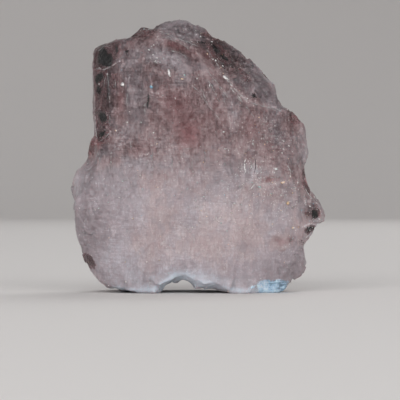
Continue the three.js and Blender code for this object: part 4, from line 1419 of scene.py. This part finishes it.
@dataclass
class FleckTree(GrowthTree):
    """Scatters small cleavage flecks, coloured as painted glints, over the stone, thickest where it sparkles.
    Sizes are in millimetres.
    """

    smallest: float = 0.06
    largest: float = 0.15
    per_square: float = 1.0  # flecks in a square millimetre where they crowd
    seed: int = 11

    def tree(self, material: bpy.types.Material, named: bpy.types.Object) -> bpy.types.NodeTree:
        """Builds the tree.

        Args:
            material: what the tree dresses the stone in.
            named: the flecks and hairlines that have places of their own, which join the stone's mesh.

        Returns:
            The tree, whose sizes are still to be set on the modifier.
        """
        tree, inputs = self.started("cleavage flecks")

        # more of them where the crowd is thicker
        crowd = add_node(tree, "GeometryNodeInputNamedAttribute", {}, {"Name": Look.SPARKLE.value})
        metres = add_node(tree, "GeometryNodeInputPosition")
        settings = {"Vector": metres, "Scale": 1 / (CROWD_SIZE * MM), "Detail": 3.0}
        patchy = add_node(tree, "ShaderNodeTexNoise", {}, settings)
        base = add_node(tree, "ShaderNodeMapRange", {}, {0: patchy, 1: 0.4, 2: 0.7, 3: 0.04, 4: 0.4})
        dense = add_node(tree, "ShaderNodeMath", PLUS, {0: crowd, 1: base})
        for share in (inputs["Per Square"], 1 / MM**2):
            dense = add_node(tree, "ShaderNodeMath", TIMES, {0: dense, 1: share})
        spread = {"Mesh": inputs["Geometry"], "Density": dense, "Seed": inputs["Seed"]}
        points = add_node(tree, "GeometryNodeDistributePointsOnFaces", {}, spread)

        # each has a brightness and a colour of its own, as a painted glint
        number, triple = {"data_type": "FLOAT"}, {"data_type": "FLOAT_VECTOR"}
        drawn = {2: 0.0, 3: 1.0, "Seed": inputs["Seed"]}
        bright = add_node(tree, "FunctionNodeRandomValue", number, drawn).outputs[1]
        bright = add_node(tree, "ShaderNodeMath", TIMES, {0: bright, 1: bright})
        bright = add_node(tree, "ShaderNodeMapRange", {}, {0: bright, 3: 0.2, 4: 0.9})
        drawn = {2: -1.0, 3: 1.0, "Seed": 5}
        warmth = add_node(tree, "FunctionNodeRandomValue", number, drawn).outputs[1]
        lit = points
        for look, value in ((Look.GLINT, bright), (Look.FIRE, warmth)):
            kept = {"Geometry": lit, "Name": look.value, "Value": value}
            lit = add_node(tree, "GeometryNodeStoreNamedAttribute", {}, kept)

        # thin chips, turned every way and a little off the surface
        chip = add_node(tree, "GeometryNodeMeshIcoSphere", {}, {"Radius": MM, "Subdivisions": 1})
        drawn = {0: (0.6, 0.6, 0.5), 1: (1.0, 1.7, 0.8), "Seed": 7}
        shape = add_node(tree, "FunctionNodeRandomValue", triple, drawn).outputs[0]
        drawn = {2: inputs["Smallest"], 3: inputs["Largest"], "Seed": 9}
        size = add_node(tree, "FunctionNodeRandomValue", number, drawn).outputs[1]
        shape = add_node(tree, "ShaderNodeVectorMath", SCALED, {0: shape, 3: size})
        placed = {"Points": lit, "Instance": chip, "Rotation": points.outputs["Rotation"], "Scale": shape}
        chips = add_node(tree, "GeometryNodeInstanceOnPoints", {}, placed)
        drawn = {0: (-0.3, -0.3, -3.1), 1: (0.3, 0.3, 3.1), "Seed": 13}
        turn = add_node(tree, "FunctionNodeRandomValue", triple, drawn).outputs[0]
        chips = add_node(tree, "GeometryNodeRotateInstances", {}, {"Instances": chips, "Rotation": turn})
        real = add_node(tree, "GeometryNodeRealizeInstances", {}, {"Geometry": chips})

        own = add_node(tree, "GeometryNodeObjectInfo", {}, {"Object": named}).outputs["Geometry"]
        joined = add_node(tree, "GeometryNodeJoinGeometry")
        for part in (own, real.outputs[0], inputs["Geometry"]):
            tree.links.new(part, joined.inputs[0])
        dressed = add_node(tree, "GeometryNodeSetMaterial", {}, {"Geometry": joined, "Material": material})
        add_node(tree, "NodeGroupOutput", {}, {0: dressed})
        return tree


# corners, faces, strengths, look and warmth
Mark = tuple[list[Vector], list[tuple[int, ...]], list[float], Look, float]


@dataclass
class NamedMarks:
    """The flecks and hairlines that have places of their own, as thin closed chips half sunk in the stone.
    The light ones are coloured as painted glints, the dark ones as painted shade.
    """

    flecks: list[Fleck]
    strokes: list[Stroke]
    thickness: float = 0.1
    lift: float = 0.05
    corner_count: int = 6
    blade_share: float = 0.6  # how thick and how high a hairline is, beside a fleck
    step: float = 0.35
    wobble_share: float = 0.25  # of a step
    taper: int = 3  # steps over which a hairline thins out at each end
    edge_on: float = -0.35  # faces of the front whose outward y is above this take no hairline
    cloudiness: float = 0.7
    seed: int = 21

    def build(self, stone: bpy.types.Object) -> bpy.types.Object:
        """Lays every mark on the stone's surface.

        Args:
            stone: the carved stone.

        Returns:
            One object with all the marks, with the same attributes as the stone.
        """
        surface = BVHTree.FromObject(stone, bpy.context.evaluated_depsgraph_get())
        draw = random.Random(self.seed)
        points: list[Vector] = []
        faces: list[tuple[int, ...]] = []
        values: dict[Look, list[float]] = {look: [] for look in Look}
        marks = [self.chip(surface, draw, fleck) for fleck in self.flecks]
        marks += [self.hairline(surface, draw, stroke) for stroke in self.strokes]
        for corners, sides, strengths, own_look, warmth in marks:
            first = len(points)
            points += corners
            faces += [tuple(first + i for i in side) for side in sides]
            for look, numbers in values.items():
                numbers += strengths if look is own_look else [look.absent] * len(corners)
            values[Look.FIRE][first:] = [warmth] * len(corners)
            values[Look.CLOUD][first:] = [self.cloudiness] * len(corners)
        mesh = bpy.data.meshes.new("named_marks")
        mesh.from_pydata(points, [], faces)
        for look, numbers in values.items():
            store(mesh, look.value, numbers)
        named = bpy.data.objects.new("named_marks", mesh)
        bpy.context.scene.collection.objects.link(named)
        return named

    def place(self, surface: BVHTree, x: float, z: float, side: Side) -> tuple[Vector, Vector]:
        """Finds the surface on the eye's line through a point of the x-z plane.

        Args:
            surface: the stone's surface.
            x: millimetres to the right.
            z: millimetres up.
            side: the side that the mark is on.

        Returns:
            The place on the surface and its outward direction.
        """
        eye = Vector(EYE) * MM
        aim = (Vector((x, 0, z)) * MM - eye) * -side.value
        start = eye if side is Side.FRONT else eye - aim * 2
        hit, normal, _, _ = surface.ray_cast(start, aim.normalized())
        if hit is None:
            hit, normal, _, _ = surface.find_nearest(Vector((x * MM, 0, z * MM)))
        return hit, normal

    def chip(self, surface: BVHTree, draw: random.Random, fleck: Fleck) -> Mark:
        """Makes one fleck, a thin chip with uneven corners.

        Args:
            surface: the stone's surface.
            draw: where its unevenness comes from.
            fleck: its size and place.

        Returns:
            Corners, faces, strengths, look and warmth.
        """
        middle, normal = self.place(surface, fleck.x, fleck.z, fleck.side)
        middle = middle + normal * (self.lift * MM)
        right = Vector((1, 0, 0))
        right = (right - normal * right.dot(normal)).normalized()
        up = normal.cross(right) * (1 if normal.cross(right).z > 0 else -1)
        turn = math.radians(fleck.lean)
        along = up * math.cos(turn) - right * math.sin(turn)
        across = right * math.cos(turn) + up * math.sin(turn)
        count = self.corner_count
        corners = []
        for i in range(count):
            angle = math.tau * (i + draw.uniform(-0.3, 0.3)) / count
            reach = draw.uniform(0.75, 1.1) * MM / 2
            width = across * (math.cos(angle) * fleck.width * reach)
            corners.append(middle + width + along * (math.sin(angle) * fleck.height * reach))
        tip = normal * (self.thickness * MM)
        corners += [middle + tip, middle - tip]
        faces = []
        outwards = across.cross(along).dot(normal) > 0
        for i in range(count):
            a, b = (i, (i + 1) % count) if outwards else ((i + 1) % count, i)
            faces += [(a, b, count), (b, a, count + 1)]
        return corners, faces, [fleck.strength] * len(corners), Look.GLINT, fleck.warmth

    def spots(self, draw: random.Random, path: Trail) -> list[tuple[float, float]]:
        """Divides a path into steps that wobble a little.

        Args:
            draw: where the wobble comes from.
            path: points in the x-z plane.

        Returns:
            More points in the x-z plane.
        """
        spots = []
        for (x, z), (next_x, next_z) in zip(path, path[1:]):
            count = max(1, round(math.hypot(next_x - x, next_z - z) / self.step))
            spots += [(x + (next_x - x) * i / count, z + (next_z - z) * i / count) for i in range(count)]
        spots.append(path[-1])
        wobble = self.step * self.wobble_share
        return [(x + draw.uniform(-wobble, wobble), z + draw.uniform(-wobble, wobble)) for x, z in spots]

    def hairline(self, surface: BVHTree, draw: random.Random, stroke: Stroke) -> Mark:
        """Makes one hairline, a thin blade that follows the surface and swells and fades along its length.

        Args:
            surface: the stone's surface.
            draw: where its unevenness comes from.
            stroke: its path and width.

        Returns:
            Corners, faces, strengths, look and warmth.
        """
        found = [self.place(surface, x, z, Side.FRONT) for x, z in self.spots(draw, stroke.path)]
        lift = self.lift * self.blade_share * MM
        found = [(middle + normal * lift, normal) for middle, normal in found if normal.y < self.edge_on]
        last = len(found) - 1
        swells = (0.8, 1.0) if stroke.look is Look.DARK else (0.1, 0.45, 0.8, 1.0, 1.5)
        corners = [found[0][0]]
        strengths = [0.0]
        for i in range(1, last):
            middle, normal = found[i]
            ahead = (found[i + 1][0] - found[i - 1][0]).normalized()
            swell = draw.choice(swells)
            half = stroke.width * MM / 2 * swell * min(1.0, i / self.taper, (last - i) / self.taper)
            sideways = ahead.cross(normal).normalized() * half
            tip = normal * (self.thickness * self.blade_share * MM)
            corners += [middle + sideways, middle + tip, middle - sideways, middle - tip]
            strengths += [min(1.0, stroke.strength * (0.3 + 0.6 * swell))] * 4
        corners.append(found[-1][0])
        strengths.append(0.0)

        # a point at each end, and rings of four corners between
        end = len(corners) - 1
        turns = [(k, (k + 1) % 4) for k in range(4)]
        faces = [(0, 1 + after, 1 + k) for k, after in turns]
        for first in range(1, end - 4, 4):
            faces += [(first + k, first + after, first + 4 + after, first + 4 + k) for k, after in turns]
        faces += [(end, end - 4 + k, end - 4 + after) for k, after in turns]
        return corners, faces, strengths, stroke.look, 0.0


@dataclass
class Stone:
    """The whole crystal, one piece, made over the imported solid."""

    weld_gap: float = 0.001
    voxel: float = 0.37
    smoothing_share: float = 0.5
    smoothing_rounds: int = 2
    calm_rounds: int = 140
    calm_share: float = 0.95
    broad_facing: tuple[float, float] = (0.2, 0.6)  # how far a face looks along y, from none calmed to most
    calm_above: tuple[float, float] = (1.0, 4.0)  # millimetres up, from none calmed to most

    def build(self) -> bpy.types.Object:
        """Builds and dresses the stone.

        Returns:
            The finished piece.
        """
        material = MorganiteFinish().material()
        stone = self.fine_copy()
        self.mark(stone.data)
        relief, scatter = ReliefTree(), FleckTree()
        self.grow(stone, relief.tree(material), relief.sizes())
        named = NamedMarks(FLECKS, STROKES).build(stone)
        self.grow(stone, scatter.tree(material, named), scatter.sizes())
        bpy.data.objects.remove(named)
        stone.data.materials.clear()
        stone.data.materials.append(material)
        stone.data.shade_smooth()
        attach(stone, "root")
        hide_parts(NODE)
        return stone

    def fine_copy(self) -> bpy.types.Object:
        """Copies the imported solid, joins its loose triangles and gives it an even, fine mesh.

        Returns:
            The copy, with its ledges calmed.
        """
        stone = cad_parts[NODE].copy()
        stone.data = stone.data.copy()
        stone.parent = None
        for key in list(stone.keys()):
            del stone[key]
        bpy.context.scene.collection.objects.link(stone)
        stone.name = stone.data.name = "rough_morganite"
        weld = stone.modifiers.new("weld", "WELD")
        weld.merge_threshold = self.weld_gap * MM
        even = stone.modifiers.new("even", "REMESH")
        even.mode = "VOXEL"
        even.voxel_size = self.voxel * MM
        soften = stone.modifiers.new("soften", "SMOOTH")
        soften.factor = self.smoothing_share
        soften.iterations = self.smoothing_rounds
        self.settle(stone)
        self.calm(stone.data)
        return stone

    def calm(self, mesh: bpy.types.Mesh) -> None:
        """Evens out the ledges of the broad front and back faces, and leaves their rims and the other sides.

        Args:
            mesh: the stone's mesh, whose vertices move.
        """
        points, normals = vertex_table(mesh)
        count = len(points)
        pairs = np.empty(len(mesh.edges) * 2, np.int32)
        mesh.edges.foreach_get("vertices", pairs)
        first, second = pairs.reshape(-1, 2).T
        ends = np.concatenate([first, second])
        others = np.concatenate([second, first])
        neighbours = np.bincount(ends, minlength=count)[:, None]
        even, facing = points.copy(), normals[:, 1]
        for _ in range(self.calm_rounds):
            near = np.stack([np.bincount(ends, even[others, axis], count) for axis in range(3)], axis=1)
            even = near / neighbours
            facing = np.bincount(ends, facing[others], count) / neighbours[:, 0]
        share = self.calm_share * smooth_share(np.abs(facing), *self.broad_facing)
        share *= smooth_share(points[:, 2] / MM, *self.calm_above)
        points[:, 1] += share * (even[:, 1] - points[:, 1])
        mesh.vertices.foreach_set("co", points.astype(np.float32).ravel())
        mesh.update()

    def mark(self, mesh: bpy.types.Mesh) -> None:
        """Writes the zones and the named forms on the mesh as attributes.

        Args:
            mesh: the stone's mesh.
        """
        places, normals = vertex_table(mesh)
        points = places / MM
        crystal = CrystalMap(ZONES, PATCHES, ARCS, CRESTS, BANDS)
        for look, values in crystal.looks(points).items():
            store(mesh, look.value, values)
        store(mesh, FORM_HEIGHT, crystal.relief(points, normals))

    def grow(self, stone: bpy.types.Object, tree: bpy.types.NodeTree, sizes: dict[str, float]) -> None:
        """Runs a geometry tree on the mesh and keeps the result.

        Args:
            stone: the stone so far.
            tree: the tree to run.
            sizes: a value for each of its named inputs.
        """
        modifier = stone.modifiers.new(tree.name, "NODES")
        modifier.node_group = tree
        for socket in tree.interface.items_tree:
            if socket.in_out == "INPUT" and socket.name in sizes:
                modifier[socket.identifier] = sizes[socket.name]
        self.settle(stone)

    def settle(self, stone: bpy.types.Object) -> None:
        """Turns an object's modifiers into its plain mesh, and takes them off.

        Args:
            stone: the stone so far.
        """
        graph = bpy.context.evaluated_depsgraph_get()
        mesh = bpy.data.meshes.new_from_object(stone.evaluated_get(graph))
        stone.modifiers.clear()
        stone.data = mesh


# --- the studio -----------------------------------------------------------------------------------------


@dataclass
class Studio:
    """A pale paper sweep, soft lights and the camera, in metres."""

    frame_width: float = 0.08236  # what the camera takes in, at the stone
    sensor: float = 36.0
    aim: Triple = (0.0, 0.0, 0.028)  # the middle of the stone, which the lights face
    lamp_size: float = 1.25
    air: float = 0.3
    air_colour: str = "#f4f4f6"
    floor: float = 2.0
    bend: float = 0.6
    top: float = 1.3
    parts: int = 96
    bend_steps: int = 12

    def build(self) -> bpy.types.Object:
        """Sets up the floor, the lights and the camera.

        Returns:
            The paper sweep.
        """
        paper = self.sweep()
        self.light("key", (-0.45, -1.55, 0.75), 15.4)
        self.light("fill", (0.85, -1.45, 0.7), 8.8)
        self.light("back", (0.62, 1.12, 1.38), 10.0, glossy=False)
        self.world()
        self.camera()
        bpy.context.scene.view_settings.view_transform = "Standard"
        return paper

    def sweep(self) -> bpy.types.Object:
        """Lays the round paper floor, which curves up far from the stone on every side.

        Returns:
            The sweep.
        """
        line = [(0.3, 0.0), (1.0, 0.0)]
        for i in range(self.bend_steps + 1):
            angle = math.pi / 2 * i / self.bend_steps
            line.append((self.floor + self.bend * math.sin(angle), self.bend - self.bend * math.cos(angle)))
        line.append((self.floor + self.bend, self.top))
        turns = [math.tau * i / self.parts for i in range(self.parts)]
        corners = [(0.0, 0.0, 0.0)]
        for reach, z in line:
            corners += [(reach * math.cos(turn), reach * math.sin(turn), z) for turn in turns]
        sides = [(i, (i + 1) % self.parts) for i in range(self.parts)]
        faces = [(0, 1 + i, 1 + after) for i, after in sides]
        for ring in range(len(line) - 1):
            inner = 1 + ring * self.parts
            outer = inner + self.parts
            faces += [(inner + i, outer + i, outer + after, inner + after) for i, after in sides]
        mesh = bpy.data.meshes.new("paper_sweep")
        mesh.from_pydata(corners, [], faces)
        mesh.shade_smooth()
        mesh.materials.append(PaperFinish().material())
        paper = bpy.data.objects.new("paper_sweep", mesh)
        bpy.context.scene.collection.objects.link(paper)
        return paper

    def light(self, name: str, place: Triple, watts: float, glossy: bool = True) -> None:
        """Hangs one soft square light that faces the stone.

        Args:
            name: what it is called.
            place: where its middle is.
            watts: its power.
            glossy: whether faces mirror it.
        """
        lamp = bpy.data.lights.new(name, "AREA")
        lamp.size = self.lamp_size
        lamp.energy = watts
        holder = bpy.data.objects.new(name, lamp)
        holder.location = place
        aim = Vector(self.aim) - Vector(place)
        holder.rotation_euler = aim.to_track_quat("-Z", "Y").to_euler()
        holder.visible_camera = False
        holder.visible_glossy = glossy
        bpy.context.scene.collection.objects.link(holder)

    def world(self) -> None:
        """Fills the room with even light."""
        world = bpy.data.worlds.new("studio air")
        world.use_nodes = True
        background = world.node_tree.nodes["Background"]
        background.inputs["Color"].default_value = linear(self.air_colour)
        background.inputs["Strength"].default_value = self.air
        bpy.context.scene.world = world

    def camera(self) -> None:
        """Sets the camera level with the stone, with a long lens."""
        lens = bpy.data.cameras.new("camera")
        lens.sensor_width = self.sensor
        lens.lens = self.sensor * -EYE[1] * MM / self.frame_width
        eye = bpy.data.objects.new("camera", lens)
        eye.location = Vector(EYE) * MM
        eye.rotation_euler = (math.pi / 2, 0, 0)
        bpy.context.scene.collection.objects.link(eye)
        bpy.context.scene.camera = eye


def main() -> None:
    """Builds the stone and its studio in order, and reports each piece."""
    logging.basicConfig(level=logging.INFO, format="%(message)s")
    for builder in (Stone(), Studio()):
        piece = builder.build()
        log.info("%s: %d triangles", piece.name, sum(len(p.vertices) - 2 for p in piece.data.polygons))


if __name__ == "__main__":
    main()
